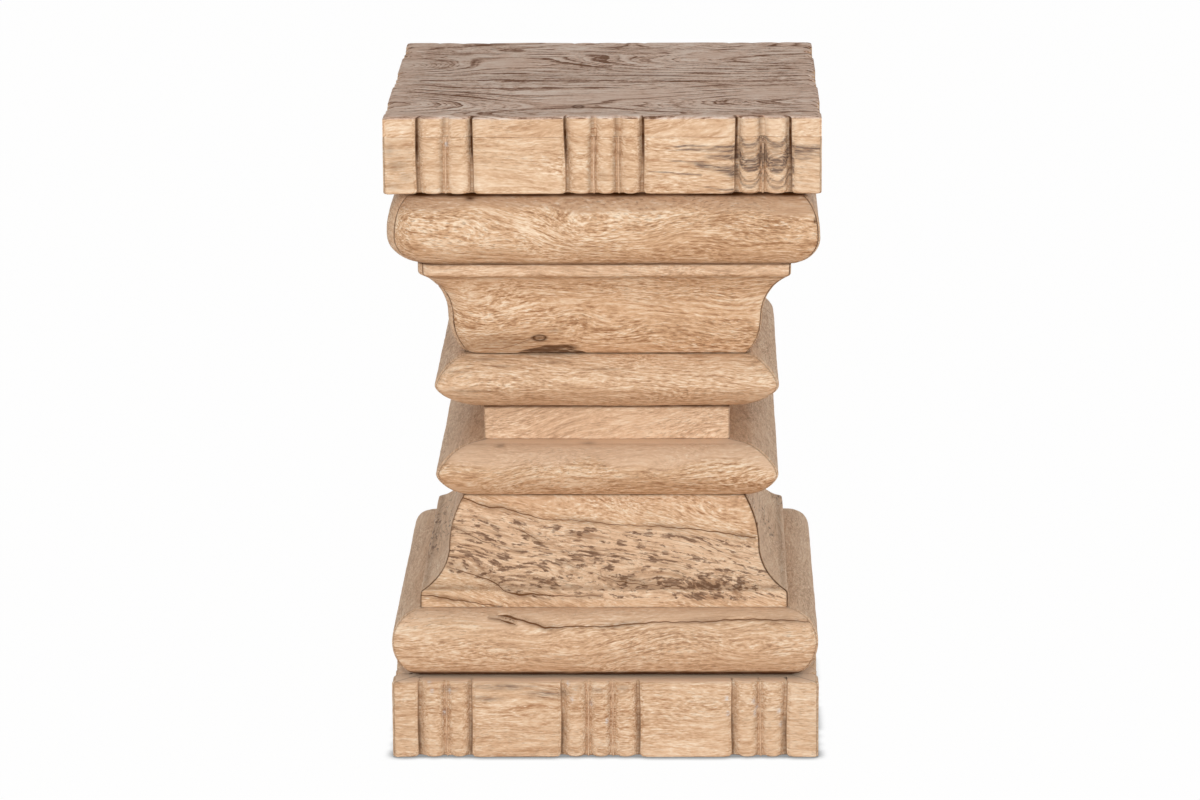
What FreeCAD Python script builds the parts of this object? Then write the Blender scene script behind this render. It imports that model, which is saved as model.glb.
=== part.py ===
import FreeCAD
import Part
import Sketcher
import math
import os

# A square carved side table: a pedestal stacked from mitred wooden mouldings, wide at the top slab
# and at the plinth and drawn in to a plain neck half way up.
# Millimetres, +Z up, origin on the floor under the middle of the table, front towards -Y.

SIZES = {
    # Plan of the table, and the heights of its layers from the floor up
    "table_side": 330.0,
    "plinth_height": 60.5,
    "lower_torus_height": 54.0,
    "lower_ogee_height": 81.5,
    "lower_ring_height": 40.5,
    "neck_height": 28.0,
    "upper_ring_height": 44.0,
    "upper_ogee_height": 78.0,
    "upper_torus_height": 58.0,
    "frieze_height": 44.0,
    "top_board_thickness": 15.5,
    # How far the faces of the mouldings stand back from the sides of the slab
    "torus_inset": 0.5,
    "fillet_inset": 22.5,
    "waist_inset": 44.2,
    "foot_inset": 55.5,
    "ring_inset": 32.5,
    "neck_inset": 69.5,
    # Shape of the big rounds: distance of the nose from the slab or the plinth
    "lower_torus_nose": 31.0,
    "upper_torus_nose": 35.0,
    # Shape of the ogees: height of the flat fillet, its ledge, and the waist between hollow and swell
    "lower_fillet_height": 13.5,
    "upper_fillet_height": 10.5,
    "fillet_ledge": 2.5,
    "lower_waist_level": 43.5,
    "upper_waist_level": 47.5,
    # Shape of the small rings: height and rise of the round nose
    "ring_nose_height": 15.0,
    "ring_nose_rise": 4.0,
    # Width of the wood of each layer, from its face to the hollow inside
    "rail_width": 45.0,
    "torus_width": 54.5,
    "ogee_width": 50.5,
    "neck_rail_width": 29.5,
    # Carving of the slab and the plinth: reeds in a two, three, two rhythm between flat panels
    "end_panel": 21.5,
    "reed_width": 19.5,
    "reed_depth": 4.0,
    "reed_setback": 1.0,
    "groove_width": 3.0,
    "groove_depth": 5.0,
    # Keys across the mitres, and dowels between one layer and the next
    "key_length": 18.0,
    "key_width": 14.0,
    "key_thickness": 4.0,
    "dowel_diameter": 8.0,
    "dowel_length": 24.0,
    "dowel_offset": 24.0,
    # Posts in the hollow, the board that they stand on, and the glue blocks in the corners
    "post_side": 30.0,
    "post_dowel_diameter": 10.0,
    "post_dowel_in_board": 9.0,
    "post_dowel_in_post": 15.0,
    "base_board_lift": 22.0,
    "base_board_thickness": 15.0,
    "base_block_foot": 5.0,
    "block_side": 35.0,
    "top_block_height": 28.0,
    # Round-headed wood screws
    "screw_shank": 4.5,
    "screw_head": 9.0,
    "screw_head_height": 3.0,
    "screw_point": 5.0,
    "post_screw_bite": 28.0,
    "block_screw_bite": 9.0,
    # Play around dowels, screws and the base board, and how far a cutter runs past the wood
    "hole_play": 0.2,
    "board_play": 0.3,
    "overrun": 5.0,
}

# Each layer is four like lengths, turned about the middle of the table
SIDES = {"right": 0, "back": 90, "left": 180, "front": 270}
CORNERS = {"back_right": 0, "back_left": 90, "front_left": 180, "front_right": 270}
DIAGONAL = math.sqrt(0.5)

DOC = FreeCAD.newDocument("carved_side_table")
SHEET = DOC.addObject("Spreadsheet::Sheet", "Sizes")
NODES = []


class Length:
    """A size known both as a number and as a formula of the sheet's cells."""

    def __init__(self, value, formula):
        self.value = value
        self.formula = formula

    def __add__(self, other):
        other = as_length(other)
        return Length(self.value + other.value, f"({self.formula} + {other.formula})")

    def __sub__(self, other):
        other = as_length(other)
        return Length(self.value - other.value, f"({self.formula} - {other.formula})")

    def __mul__(self, other):
        other = as_length(other)
        return Length(self.value * other.value, f"({self.formula} * {other.formula})")

    def __truediv__(self, other):
        other = as_length(other)
        return Length(self.value / other.value, f"({self.formula} / {other.formula})")

    def __neg__(self):
        return Length(-self.value, f"(-1 * {self.formula})")


class Bend:
    """A round stretch of an outline: its centre lies at a level, or it swells to the right by a radius."""

    def __init__(self, level=None, radius=None):
        self.level = level
        self.radius = radius


def as_length(size):
    if isinstance(size, Length):
        return size
    return Length(float(size), repr(float(size)))


def cell(alias):
    return Length(SIZES[alias], f"Sizes.{alias}")


def fill_sheet():
    for row, (alias, value) in enumerate(SIZES.items(), start=1):
        SHEET.set(f"A{row}", str(value))
        SHEET.setAlias(f"A{row}", alias)
    DOC.recompute()


def arc_centre(start, end, bend):
    """Centre of a round stretch between two points, as numbers."""
    (x_start, y_start), (x_end, y_end) = start, end
    if bend.level is not None:
        level = bend.level.value
        rise = (y_start - level) ** 2 - (y_end - level) ** 2
        return (x_start**2 - x_end**2 + rise) / (2 * (x_start - x_end)), level
    chord = math.hypot(x_end - x_start, y_end - y_start)
    depth = math.sqrt(bend.radius.value**2 - chord**2 / 4) / chord
    middle_x = (x_start + x_end) / 2
    middle_y = (y_start + y_end) / 2
    return middle_x - (y_end - y_start) * depth, middle_y + (x_end - x_start) * depth


def add_edge(sketch, start, end, bend):
    """Adds one edge of an outline. Returns its number and the numbers of its two ends."""
    first = FreeCAD.Vector(*start, 0)
    last = FreeCAD.Vector(*end, 0)
    if bend is None:
        return sketch.addGeometry(Part.LineSegment(first, last)), 1, 2
    centre = FreeCAD.Vector(*arc_centre(start, end, bend), 0)
    angles = [math.atan2(p.y - centre.y, p.x - centre.x) for p in (first, last)]
    forward = (angles[1] - angles[0]) % (2 * math.pi) < math.pi
    if not forward:
        angles.reverse()
    circle = Part.Circle(centre, FreeCAD.Vector(0, 0, 1), (first - centre).Length)
    edge = sketch.addGeometry(Part.ArcOfCircle(circle, *angles))
    return (edge, 1, 2) if forward else (edge, 2, 1)


def hold(sketch, kind, edge, end, size):
    """Binds one coordinate of a point, or a radius, to the sheet."""
    if kind in ("DistanceX", "DistanceY") and size.value == 0:
        axis = -2 if kind == "DistanceX" else -1
        sketch.addConstraint(Sketcher.Constraint("PointOnObject", edge, end, axis))
        return
    if kind in ("Radius", "Diameter"):
        index = sketch.addConstraint(Sketcher.Constraint(kind, edge, size.value))
    else:
        index = sketch.addConstraint(Sketcher.Constraint(kind, edge, end, size.value))
    sketch.setExpression(f"Constraints[{index}]", size.formula)


def new_sketch(body, name, plane, lift=None):
    sketch = body.newObject("Sketcher::SketchObject", name)
    support = next(f for f in body.Origin.OriginFeatures if f.Role == plane)
    sketch.AttachmentSupport = [(support, "")]
    sketch.MapMode = "FlatFace"
    if lift is not None:
        sketch.setExpression("AttachmentOffset.Base.z", lift.formula)
    return sketch


def draw_outlines(sketch, outlines):
    """Draws closed outlines, each a list of (x, y, bend of the edge that starts there)."""
    for outline in outlines:
        corners = [(as_length(x), as_length(y)) for x, y, bend in outline]
        points = [(x.value, y.value) for x, y in corners]
        edges = []
        for index, (x, y, bend) in enumerate(outline):
            following = points[(index + 1) % len(points)]
            edges.append(add_edge(sketch, points[index], following, bend))
        for index, (edge, start, end) in enumerate(edges):
            next_edge, next_start, next_end = edges[(index + 1) % len(edges)]
            sketch.addConstraint(Sketcher.Constraint("Coincident", edge, end, next_edge, next_start))
            hold(sketch, "DistanceX", edge, start, corners[index][0])
            hold(sketch, "DistanceY", edge, start, corners[index][1])
            bend = outline[index][2]
            if bend is not None and bend.level is not None:
                hold(sketch, "DistanceY", edge, 3, bend.level)
            elif bend is not None:
                hold(sketch, "Radius", edge, 0, bend.radius)


def draw_circle(sketch, x, y, diameter):
    x = as_length(x)
    y = as_length(y)
    middle = FreeCAD.Vector(x.value, y.value, 0)
    circle = sketch.addGeometry(Part.Circle(middle, FreeCAD.Vector(0, 0, 1), diameter.value / 2))
    hold(sketch, "DistanceX", circle, 3, x)
    hold(sketch, "DistanceY", circle, 3, y)
    hold(sketch, "Diameter", circle, 0, diameter)


def straight(*corners):
    return [(x, y, None) for x, y in corners]


def rectangle(x_low, y_low, x_high, y_high):
    return straight((x_low, y_low), (x_high, y_low), (x_high, y_high), (x_low, y_high))


def new_body(name):
    return DOC.addObject("PartDesign::Body", name)


def pad(body, sketch, length, both_ways=False):
    feature = body.newObject("PartDesign::Pad", f"{sketch.Name}_pad")
    feature.Profile = sketch
    feature.setExpression("Length", length.formula)
    if both_ways:
        feature.SideType = "Symmetric"
    DOC.recompute()
    return feature


def pocket(body, sketch, depth=None, upward=False):
    """Cuts a sketch out of a body: right through it, or to a depth below or above the sketch."""
    before = body.Shape.Volume
    feature = body.newObject("PartDesign::Pocket", f"{sketch.Name}_pocket")
    feature.Profile = sketch
    if depth is None:
        feature.Type = "ThroughAll"
        feature.SideType = "Symmetric"
    else:
        feature.setExpression("Length", depth.formula)
        feature.Reversed = upward
    DOC.recompute()
    if not body.Shape.Volume < before:
        raise RuntimeError(f"{feature.Name} cuts nothing")
    return feature


def four_times(body, feature):
    """Repeats a feature of a body four times around the middle of the table."""
    pattern = body.newObject("PartDesign::PolarPattern", f"{feature.Name}_four")
    pattern.Originals = [feature]
    pattern.Axis = (feature.Profile[0], ["N_Axis"])
    pattern.Angle = 360
    pattern.Occurrences = 4
    body.Tip = pattern
    DOC.recompute()
    return pattern


def stand(body, angle, level):
    body.Placement = FreeCAD.Placement(FreeCAD.Vector(), FreeCAD.Rotation(FreeCAD.Vector(0, 0, 1), angle))
    body.setExpression("Placement.Base.z", level.formula)


def add_node(body, label):
    body.Label = label
    NODES.append(body)


def turn_copies(master, name, places, level):
    """Stands a finished piece and its copies around the table, one node for each place."""
    DOC.recompute()
    for place, angle in places.items():
        if angle == 0:
            body = master
        else:
            body = new_body(f"{name}_{place}")
            copy = body.newObject("PartDesign::FeatureBase", f"{name}_{place}_copy")
            copy.BaseFeature = master
            body.Tip = copy
        stand(body, angle, level)
        add_node(body, f"{name}_{place}")
    DOC.recompute()


def group(label, bodies):
    """One node of several separate solids, for fasteners of one kind."""
    compound = DOC.addObject("Part::Compound", label)
    compound.Links = bodies
    DOC.recompute()
    add_node(compound, label)


fill_sheet()

half = cell("table_side") / 2
overrun = cell("overrun")
rail_inner = half - cell("rail_width")
torus_nose = half - cell("torus_inset")
torus_inner = torus_nose - cell("torus_width")
fillet_face = half - cell("fillet_inset")
ogee_inner = fillet_face - cell("ogee_width")
waist_face = half - cell("waist_inset")
foot_face = half - cell("foot_inset")
ring_nose = half - cell("ring_inset")
neck_face = half - cell("neck_inset")
core_face = neck_face - cell("neck_rail_width")

floor = as_length(0)
plinth_top = floor + cell("plinth_height")
lower_torus_top = plinth_top + cell("lower_torus_height")
lower_ogee_top = lower_torus_top + cell("lower_ogee_height")
lower_ring_top = lower_ogee_top + cell("lower_ring_height")
neck_top = lower_ring_top + cell("neck_height")
upper_ring_top = neck_top + cell("upper_ring_height")
upper_ogee_top = upper_ring_top + cell("upper_ogee_height")
upper_torus_top = upper_ogee_top + cell("upper_torus_height")
frieze_top = upper_torus_top + cell("frieze_height")


def rail_profile(height):
    return rectangle(rail_inner, floor, half, height)


def torus_profile(height, nose_level):
    """A big half round: two arcs that meet upright at the nose."""
    round_stretch = Bend(level=nose_level)
    return [
        (torus_inner, floor, None),
        (fillet_face, floor, round_stretch),
        (torus_nose, nose_level, round_stretch),
        (fillet_face, height, None),
        (torus_inner, height, None),
    ]


def ogee_profile(height, fillet_height, waist_level, upside_down):
    """A flat fillet, then a hollow and a swell that meet upright at the waist."""

    def level(z):
        return height - z if upside_down else floor + z

    curve = Bend(level=level(waist_level))
    hollow_start = fillet_face - cell("fillet_ledge")
    return [
        (ogee_inner, level(floor), None),
        (fillet_face, level(floor), None),
        (fillet_face, level(fillet_height), None),
        (hollow_start, level(fillet_height), curve),
        (waist_face, level(waist_level), curve),
        (foot_face, level(height), None),
        (ogee_inner, level(height), None),
    ]


def arc_radius(chord, rise):
    return (chord * chord / 4 + rise * rise) / (rise * 2)


def ring_profile(height):
    """A small ring: two flanks and a round nose half way up."""
    nose_height = cell("ring_nose_height")
    nose_rise = cell("ring_nose_rise")
    shoulder = ring_nose - nose_rise
    nose = Bend(radius=arc_radius(nose_height, nose_rise))
    return [
        (core_face, floor, None),
        (foot_face, floor, None),
        (shoulder, height / 2 - nose_height / 2, nose),
        (shoulder, height / 2 + nose_height / 2, None),
        (foot_face, height, None),
        (core_face, height, None),
    ]


def neck_profile(height):
    return rectangle(core_face, floor, neck_face, height)


def reed_waste(start, reeds):
    """Outline of the wood that is carved away around some reeds, with a groove at each end."""
    edge = half + overrun
    valley = half - cell("reed_depth")
    groove = cell("groove_width")
    groove_floor = half - cell("groove_depth")
    width = cell("reed_width")
    reed = Bend(radius=arc_radius(width, cell("reed_depth") - cell("reed_setback")))
    outline = straight((edge, start), (half, start), (groove_floor, start + groove / 2))
    first = start + groove
    for count in range(reeds):
        outline.append((valley, first + width * count, reed))
    end = first + width * reeds
    return outline + straight(
        (valley, end), (groove_floor, end + groove / 2), (half, end + groove), (edge, end + groove)
    )


def carving():
    """All the waste along one side: two reeds, three reeds and two reeds between flat panels."""
    groove = cell("groove_width")
    width = cell("reed_width")
    outer_group = width * 2 + groove * 2
    far_start = half - cell("end_panel") - outer_group
    near_start = -(half - cell("end_panel"))
    middle_start = -(width * 3 / 2 + groove)
    return [reed_waste(near_start, 2), reed_waste(middle_start, 3), reed_waste(far_start, 2)]


def mitre_waste(end):
    """Triangle beyond the mitre at one end of a length of moulding."""
    near = core_face / 2
    far = half + overrun
    return straight((near, near * end), (far, far * end), (near, far * end))


def key_outline(middle, end):
    """A key that lies across the mitre at one end of a length of moulding."""
    along = cell("key_length") * DIAGONAL / 2
    across = cell("key_width") * DIAGONAL / 2
    return straight(
        (middle - along - across, (middle - along + across) * end),
        (middle + along - across, (middle + along + across) * end),
        (middle + along + across, (middle + along - across) * end),
        (middle - along + across, (middle - along - across) * end),
    )


DOWEL_HOLE = cell("dowel_diameter") + cell("hole_play")
DOWEL_DEPTH = cell("dowel_length") / 2
KEYS = []


def make_keys(name, level, height, middle):
    """The four keys of one layer."""
    body = new_body(f"{name}_keys")
    lift = height / 2 - cell("key_thickness") / 2
    sketch = new_sketch(body, f"{name}_key", "XY_Plane", lift)
    draw_outlines(sketch, [key_outline(middle, 1)])
    four_times(body, pad(body, sketch, cell("key_thickness")))
    stand(body, 0, level)
    KEYS.append(body)


def make_layer(name, level, height, profile, key_middle, dowel_below=None, dowel_above=None, carved=False):
    """Four mitred lengths of one moulding, with slots for keys and holes for dowels."""
    body = new_body(f"{name}_right")
    run = new_sketch(body, f"{name}_profile", "XZ_Plane")
    draw_outlines(run, [profile])
    pad(body, run, half * 2, both_ways=True)
    mitres = new_sketch(body, f"{name}_mitres", "XY_Plane")
    draw_outlines(mitres, [mitre_waste(1), mitre_waste(-1)])
    pocket(body, mitres)
    if carved:
        reeds = new_sketch(body, f"{name}_reeds", "XY_Plane")
        draw_outlines(reeds, carving())
        pocket(body, reeds)
    slots = new_sketch(body, f"{name}_slots", "XY_Plane", height / 2 - cell("key_thickness") / 2)
    draw_outlines(slots, [key_outline(key_middle, 1), key_outline(key_middle, -1)])
    pocket(body, slots, cell("key_thickness"), upward=True)
    if dowel_below is not None:
        hole = new_sketch(body, f"{name}_hole_below", "XY_Plane")
        draw_circle(hole, *dowel_below, DOWEL_HOLE)
        pocket(body, hole, DOWEL_DEPTH, upward=True)
    if dowel_above is not None:
        hole = new_sketch(body, f"{name}_hole_above", "XY_Plane", height)
        draw_circle(hole, *dowel_above, DOWEL_HOLE)
        pocket(body, hole, DOWEL_DEPTH)
    turn_copies(body, name, SIDES, level)
    make_keys(name, level, height, key_middle)


# Dowels between the layers stand in the middle of each joint, by turns to either side of the length
near_side = cell("dowel_offset")
far_side = -cell("dowel_offset")
rail_seat = (rail_inner + fillet_face) / 2
torus_seat = (torus_inner + fillet_face) / 2
ogee_seat = (ogee_inner + foot_face) / 2
neck_seat = (core_face + neck_face) / 2
plinth_joint = (rail_seat, near_side)
lower_torus_joint = (torus_seat, far_side)
lower_ogee_joint = (ogee_seat, near_side)
lower_neck_joint = (neck_seat, far_side)
upper_neck_joint = (neck_seat, near_side)
upper_ogee_joint = (ogee_seat, far_side)
upper_torus_joint = (torus_seat, near_side)
frieze_joint = (rail_seat, far_side)

# Keys lie in the middle of the wood
rail_key = (rail_inner + half) / 2
ogee_key = (ogee_inner + waist_face) / 2
ring_key = (core_face + ring_nose) / 2
neck_key = neck_seat

plinth_height = cell("plinth_height")
make_layer(
    "plinth_rail", floor, plinth_height, rail_profile(plinth_height), rail_key,
    dowel_above=plinth_joint, carved=True,
)
torus_height = cell("lower_torus_height")
make_layer(
    "lower_torus", plinth_top, torus_height, torus_profile(torus_height, cell("lower_torus_nose")),
    torus_seat, plinth_joint, lower_torus_joint,
)
ogee_height = cell("lower_ogee_height")
make_layer(
    "lower_ogee", lower_torus_top, ogee_height,
    ogee_profile(ogee_height, cell("lower_fillet_height"), cell("lower_waist_level"), False),
    ogee_key, lower_torus_joint, lower_ogee_joint,
)
ring_height = cell("lower_ring_height")
make_layer(
    "lower_ring", lower_ogee_top, ring_height, ring_profile(ring_height), ring_key,
    lower_ogee_joint, lower_neck_joint,
)
neck_height = cell("neck_height")
make_layer(
    "neck_rail", lower_ring_top, neck_height, neck_profile(neck_height), neck_key,
    lower_neck_joint, upper_neck_joint,
)
ring_height = cell("upper_ring_height")
make_layer(
    "upper_ring", neck_top, ring_height, ring_profile(ring_height), ring_key,
    upper_neck_joint, upper_ogee_joint,
)
ogee_height = cell("upper_ogee_height")
make_layer(
    "upper_ogee", upper_ring_top, ogee_height,
    ogee_profile(ogee_height, cell("upper_fillet_height"), cell("upper_waist_level"), True),
    ogee_key, upper_ogee_joint, upper_torus_joint,
)
torus_height = cell("upper_torus_height")
make_layer(
    "upper_torus", upper_ogee_top, torus_height,
    torus_profile(torus_height, torus_height - cell("upper_torus_nose")),
    torus_seat, upper_torus_joint, frieze_joint,
)
frieze_height = cell("frieze_height")
make_layer(
    "frieze_rail", upper_torus_top, frieze_height, rail_profile(frieze_height), rail_key,
    dowel_below=frieze_joint, carved=True,
)
group("mitre_keys", KEYS)


def make_layer_dowels(name, level, spot):
    """Four dowels, half in the layer below a joint and half in the layer above it."""
    body = new_body(f"{name}_dowels")
    sketch = new_sketch(body, f"{name}_dowel", "XY_Plane")
    draw_circle(sketch, *spot, cell("dowel_diameter"))
    four_times(body, pad(body, sketch, cell("dowel_length"), both_ways=True))
    stand(body, 0, level)
    return body


group("layer_dowels", [
    make_layer_dowels("plinth", plinth_top, plinth_joint),
    make_layer_dowels("lower_torus", lower_torus_top, lower_torus_joint),
    make_layer_dowels("lower_ogee", lower_ogee_top, lower_ogee_joint),
    make_layer_dowels("lower_neck", lower_ring_top, lower_neck_joint),
    make_layer_dowels("upper_neck", neck_top, upper_neck_joint),
    make_layer_dowels("upper_ogee", upper_ring_top, upper_ogee_joint),
    make_layer_dowels("upper_torus", upper_ogee_top, upper_torus_joint),
    make_layer_dowels("frieze", upper_torus_top, frieze_joint),
])

# Posts stand in the corners of the hollow, blocks in the corners of the rails
post_middle = core_face - cell("post_side") / 2
block_middle = rail_inner - cell("block_side") / 2
base_board_top = cell("base_board_lift") + cell("base_board_thickness")
screw_hole = cell("screw_shank") + cell("hole_play")
post_dowel_hole = cell("post_dowel_diameter") + cell("hole_play")
post_hole_depth = cell("post_screw_bite") + cell("hole_play")
board_hole_depth = cell("block_screw_bite") + cell("hole_play")


def drill(body, name, middle, diameter, lift=None, depth=None, upward=False):
    """One round hole on the diagonal of the table."""
    sketch = new_sketch(body, name, "XY_Plane", lift)
    draw_circle(sketch, middle, middle, diameter)
    return pocket(body, sketch, depth, upward)


def make_top_board():
    """The solid top, carved around its edge like the rails under it."""
    body = new_body("top_board")
    blank = new_sketch(body, "top_blank", "XY_Plane")
    draw_outlines(blank, [rectangle(-half, -half, half, half)])
    pad(body, blank, cell("top_board_thickness"))
    reeds = new_sketch(body, "top_reeds", "XY_Plane")
    draw_outlines(reeds, carving())
    four_times(body, pocket(body, reeds))
    post_hole = drill(
        body, "top_post_hole", post_middle, post_dowel_hole, floor, cell("post_dowel_in_board"), True
    )
    four_times(body, post_hole)
    block_hole = drill(body, "top_block_hole", block_middle, screw_hole, floor, board_hole_depth, True)
    four_times(body, block_hole)
    stand(body, 0, frieze_top)
    add_node(body, "top_board")


def make_posts():
    """Corner posts that tie the stack together from the base board to the top."""
    length = frieze_top - base_board_top
    body = new_body("core_post_back_right")
    section = new_sketch(body, "post_section", "XY_Plane")
    inner = core_face - cell("post_side")
    draw_outlines(section, [rectangle(inner, inner, core_face, core_face)])
    pad(body, section, length)
    drill(body, "post_screw_hole", post_middle, screw_hole, floor, post_hole_depth, True)
    drill(body, "post_dowel_hole", post_middle, post_dowel_hole, length, cell("post_dowel_in_post"))
    turn_copies(body, "core_post", CORNERS, base_board_top)


def make_base_board():
    """A loose board inside the plinth, under the posts."""
    body = new_body("base_board")
    edge = rail_inner - cell("board_play")
    blank = new_sketch(body, "base_blank", "XY_Plane")
    draw_outlines(blank, [rectangle(-edge, -edge, edge, edge)])
    pad(body, blank, cell("base_board_thickness"))
    four_times(body, drill(body, "base_screw_hole", post_middle, screw_hole))
    stand(body, 0, cell("base_board_lift"))
    add_node(body, "base_board")


def make_blocks(name, level, height, drilled):
    """Glue blocks in the corners of the rails."""
    body = new_body(f"{name}_back_right")
    inner = rail_inner - cell("block_side")
    section = new_sketch(body, f"{name}_section", "XY_Plane")
    draw_outlines(section, [rectangle(inner, inner, rail_inner, rail_inner)])
    pad(body, section, height)
    if drilled:
        drill(body, f"{name}_screw_hole", block_middle, screw_hole)
    turn_copies(body, name, CORNERS, level)


def make_screws(name, middle, level, length):
    """Four round-headed screws that point up, with their seats at a level."""
    body = new_body(f"{name}_four")
    axis = middle / DIAGONAL
    head = axis + cell("screw_head") / 2
    shank = axis + cell("screw_shank") / 2
    sketch = new_sketch(body, f"{name}_shape", "XZ_Plane")
    draw_outlines(sketch, [straight(
        (axis, -cell("screw_head_height")), (head, -cell("screw_head_height")), (head, floor),
        (shank, floor), (shank, length - cell("screw_point")), (axis, length),
    )])
    feature = body.newObject("PartDesign::Revolution", f"{name}_turned")
    feature.Profile = sketch
    feature.ReferenceAxis = (sketch, ["Edge6"])
    feature.Angle = 360
    DOC.recompute()
    pattern = body.newObject("PartDesign::PolarPattern", f"{name}_pattern")
    pattern.Originals = [feature]
    pattern.Axis = (sketch, ["V_Axis"])
    pattern.Angle = 360
    pattern.Occurrences = 4
    body.Tip = pattern
    stand(body, 45, level)
    DOC.recompute()
    add_node(body, name)


def make_post_dowels():
    """A dowel from the head of each post into the top board."""
    body = new_body("post_dowels")
    sketch = new_sketch(body, "post_dowel", "XY_Plane", -cell("post_dowel_in_post"))
    draw_circle(sketch, post_middle, post_middle, cell("post_dowel_diameter"))
    length = cell("post_dowel_in_post") + cell("post_dowel_in_board")
    four_times(body, pad(body, sketch, length))
    stand(body, 0, frieze_top)
    add_node(body, "post_dowels")


make_top_board()
make_posts()
make_base_board()
top_block_foot = frieze_top - cell("top_block_height")
base_block_height = cell("base_board_lift") - cell("base_block_foot")
make_blocks("top_corner_block", top_block_foot, cell("top_block_height"), True)
make_blocks("base_corner_block", cell("base_block_foot"), base_block_height, False)
post_screw_length = cell("base_board_thickness") + cell("post_screw_bite")
block_screw_length = cell("top_block_height") + cell("block_screw_bite")
make_screws("post_screws", post_middle, cell("base_board_lift"), post_screw_length)
make_screws("block_screws", block_middle, top_block_foot, block_screw_length)
make_post_dowels()

DOC.recompute()
for item in DOC.Objects:
    if "Invalid" in item.State or "Error" in item.State:
        raise RuntimeError(f"{item.Label} did not build: {item.State}")
for node in NODES:
    if node.Shape.isNull() or not node.Shape.isValid():
        raise RuntimeError(f"{node.Label} has no valid shape")

os.makedirs("parts", exist_ok=True)
for node in NODES:
    node.Shape.exportStep(f"parts/{node.Label}.step")
solids = sum(len(node.Shape.Solids) for node in NODES)
litres = sum(node.Shape.Volume for node in NODES) / 1e6
print(f"{len(NODES)} nodes, {solids} solids, {litres:.2f} litres of material")
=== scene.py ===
# %% [markdown]
# # A carved pedestal side table
# The table is a square stack of mitred wooden mouldings: a carved slab, a big half round, an ogee, a
# ring, a plain neck, and the same again upside down to a carved plinth. The solid model already has
# every length of wood in its place. This lesson gives each length the hand-cut shape and the weathered
# wood that a plain solid lacks. It starts by loading the solid model, which stays as it is.

import math
from collections import namedtuple
import bpy
import numpy as np
from mathutils import Matrix, Vector


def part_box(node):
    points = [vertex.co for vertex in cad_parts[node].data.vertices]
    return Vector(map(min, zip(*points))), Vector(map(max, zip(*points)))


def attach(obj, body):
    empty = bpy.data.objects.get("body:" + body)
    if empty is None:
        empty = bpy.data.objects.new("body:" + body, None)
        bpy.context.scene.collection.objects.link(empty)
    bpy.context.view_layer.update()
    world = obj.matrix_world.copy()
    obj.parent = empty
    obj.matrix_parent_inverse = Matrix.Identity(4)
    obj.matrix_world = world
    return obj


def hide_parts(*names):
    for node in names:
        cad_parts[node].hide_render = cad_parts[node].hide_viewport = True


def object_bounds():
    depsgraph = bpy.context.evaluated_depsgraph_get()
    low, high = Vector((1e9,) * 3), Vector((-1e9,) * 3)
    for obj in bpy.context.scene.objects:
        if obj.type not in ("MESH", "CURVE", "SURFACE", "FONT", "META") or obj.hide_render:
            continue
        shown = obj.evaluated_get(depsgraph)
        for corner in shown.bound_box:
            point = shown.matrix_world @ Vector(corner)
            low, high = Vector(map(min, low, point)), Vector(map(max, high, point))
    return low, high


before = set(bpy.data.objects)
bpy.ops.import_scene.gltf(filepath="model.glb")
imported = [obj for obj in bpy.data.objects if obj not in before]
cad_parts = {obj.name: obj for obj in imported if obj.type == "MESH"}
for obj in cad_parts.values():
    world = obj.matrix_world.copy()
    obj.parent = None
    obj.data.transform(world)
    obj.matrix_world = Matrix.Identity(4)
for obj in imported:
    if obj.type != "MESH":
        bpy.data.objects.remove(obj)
solid_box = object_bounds()
print("solid model:", len(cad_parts), "nodes, box", [list(corner) for corner in solid_box])

# %% [markdown]
# The camera stands well back with a long lens, a little above the table, so the mouldings show almost
# without perspective. Its place was worked out from the corners of the slab, the neck and the plinth.
# It could be aimed with a constraint, but a matrix made from its three directions also serves to find
# where a point of the wood lands in the picture, which is how knots and cracks get their places later.

# %% Camera
PICTURE_WIDTH = 1200
PICTURE_HEIGHT = 800
FOCAL_PIXELS = 4818.0
SENSOR_MM = 36.0
FARTHEST_SEEN = 100.0
CAMERA_PLACE = np.array([0.0693, -3.7158, 1.1748])
TURN, TIP, LEAN = np.radians([-1.16, 14.06, -0.35])

ahead = np.array([math.sin(TURN) * math.cos(TIP), math.cos(TURN) * math.cos(TIP), -math.sin(TIP)])
level = np.array([math.cos(TURN), -math.sin(TURN), 0.0])
upright = np.cross(level, ahead)
rightward = math.cos(LEAN) * level + math.sin(LEAN) * upright
upward = math.cos(LEAN) * upright - math.sin(LEAN) * level


def picture_spot(places):
    """Column and row in the picture of points in metres."""
    seen = places - CAMERA_PLACE
    depth = seen @ ahead
    column = PICTURE_WIDTH / 2 + FOCAL_PIXELS * (seen @ rightward) / depth
    row = PICTURE_HEIGHT / 2 - FOCAL_PIXELS * (seen @ upward) / depth
    return column, row


lens = bpy.data.cameras.new("camera")
lens.sensor_width = SENSOR_MM
lens.lens = FOCAL_PIXELS * SENSOR_MM / PICTURE_WIDTH
lens.clip_end = FARTHEST_SEEN
camera = bpy.data.objects.new("camera", lens)
bpy.context.scene.collection.objects.link(camera)
axes = np.eye(4)
axes[:3] = np.column_stack([rightward, upward, -ahead, CAMERA_PLACE])
camera.matrix_world = Matrix(axes.tolist())
bpy.context.scene.camera = camera
foot_column, foot_row = picture_spot(np.array(list(solid_box[0])))
print("camera: lens", round(lens.lens, 1), "mm, left foot at", round(foot_column, 1), round(foot_row, 1))

# %% [markdown]
# Materials are built from nodes. A recipe is a node tree that is filled one node at a time, and the calls
# below add a node and wire it up in one line each, which keeps the longer recipes readable. Nodes could
# also be joined by hand in the shader editor, but a script reads from top to bottom.


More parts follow.
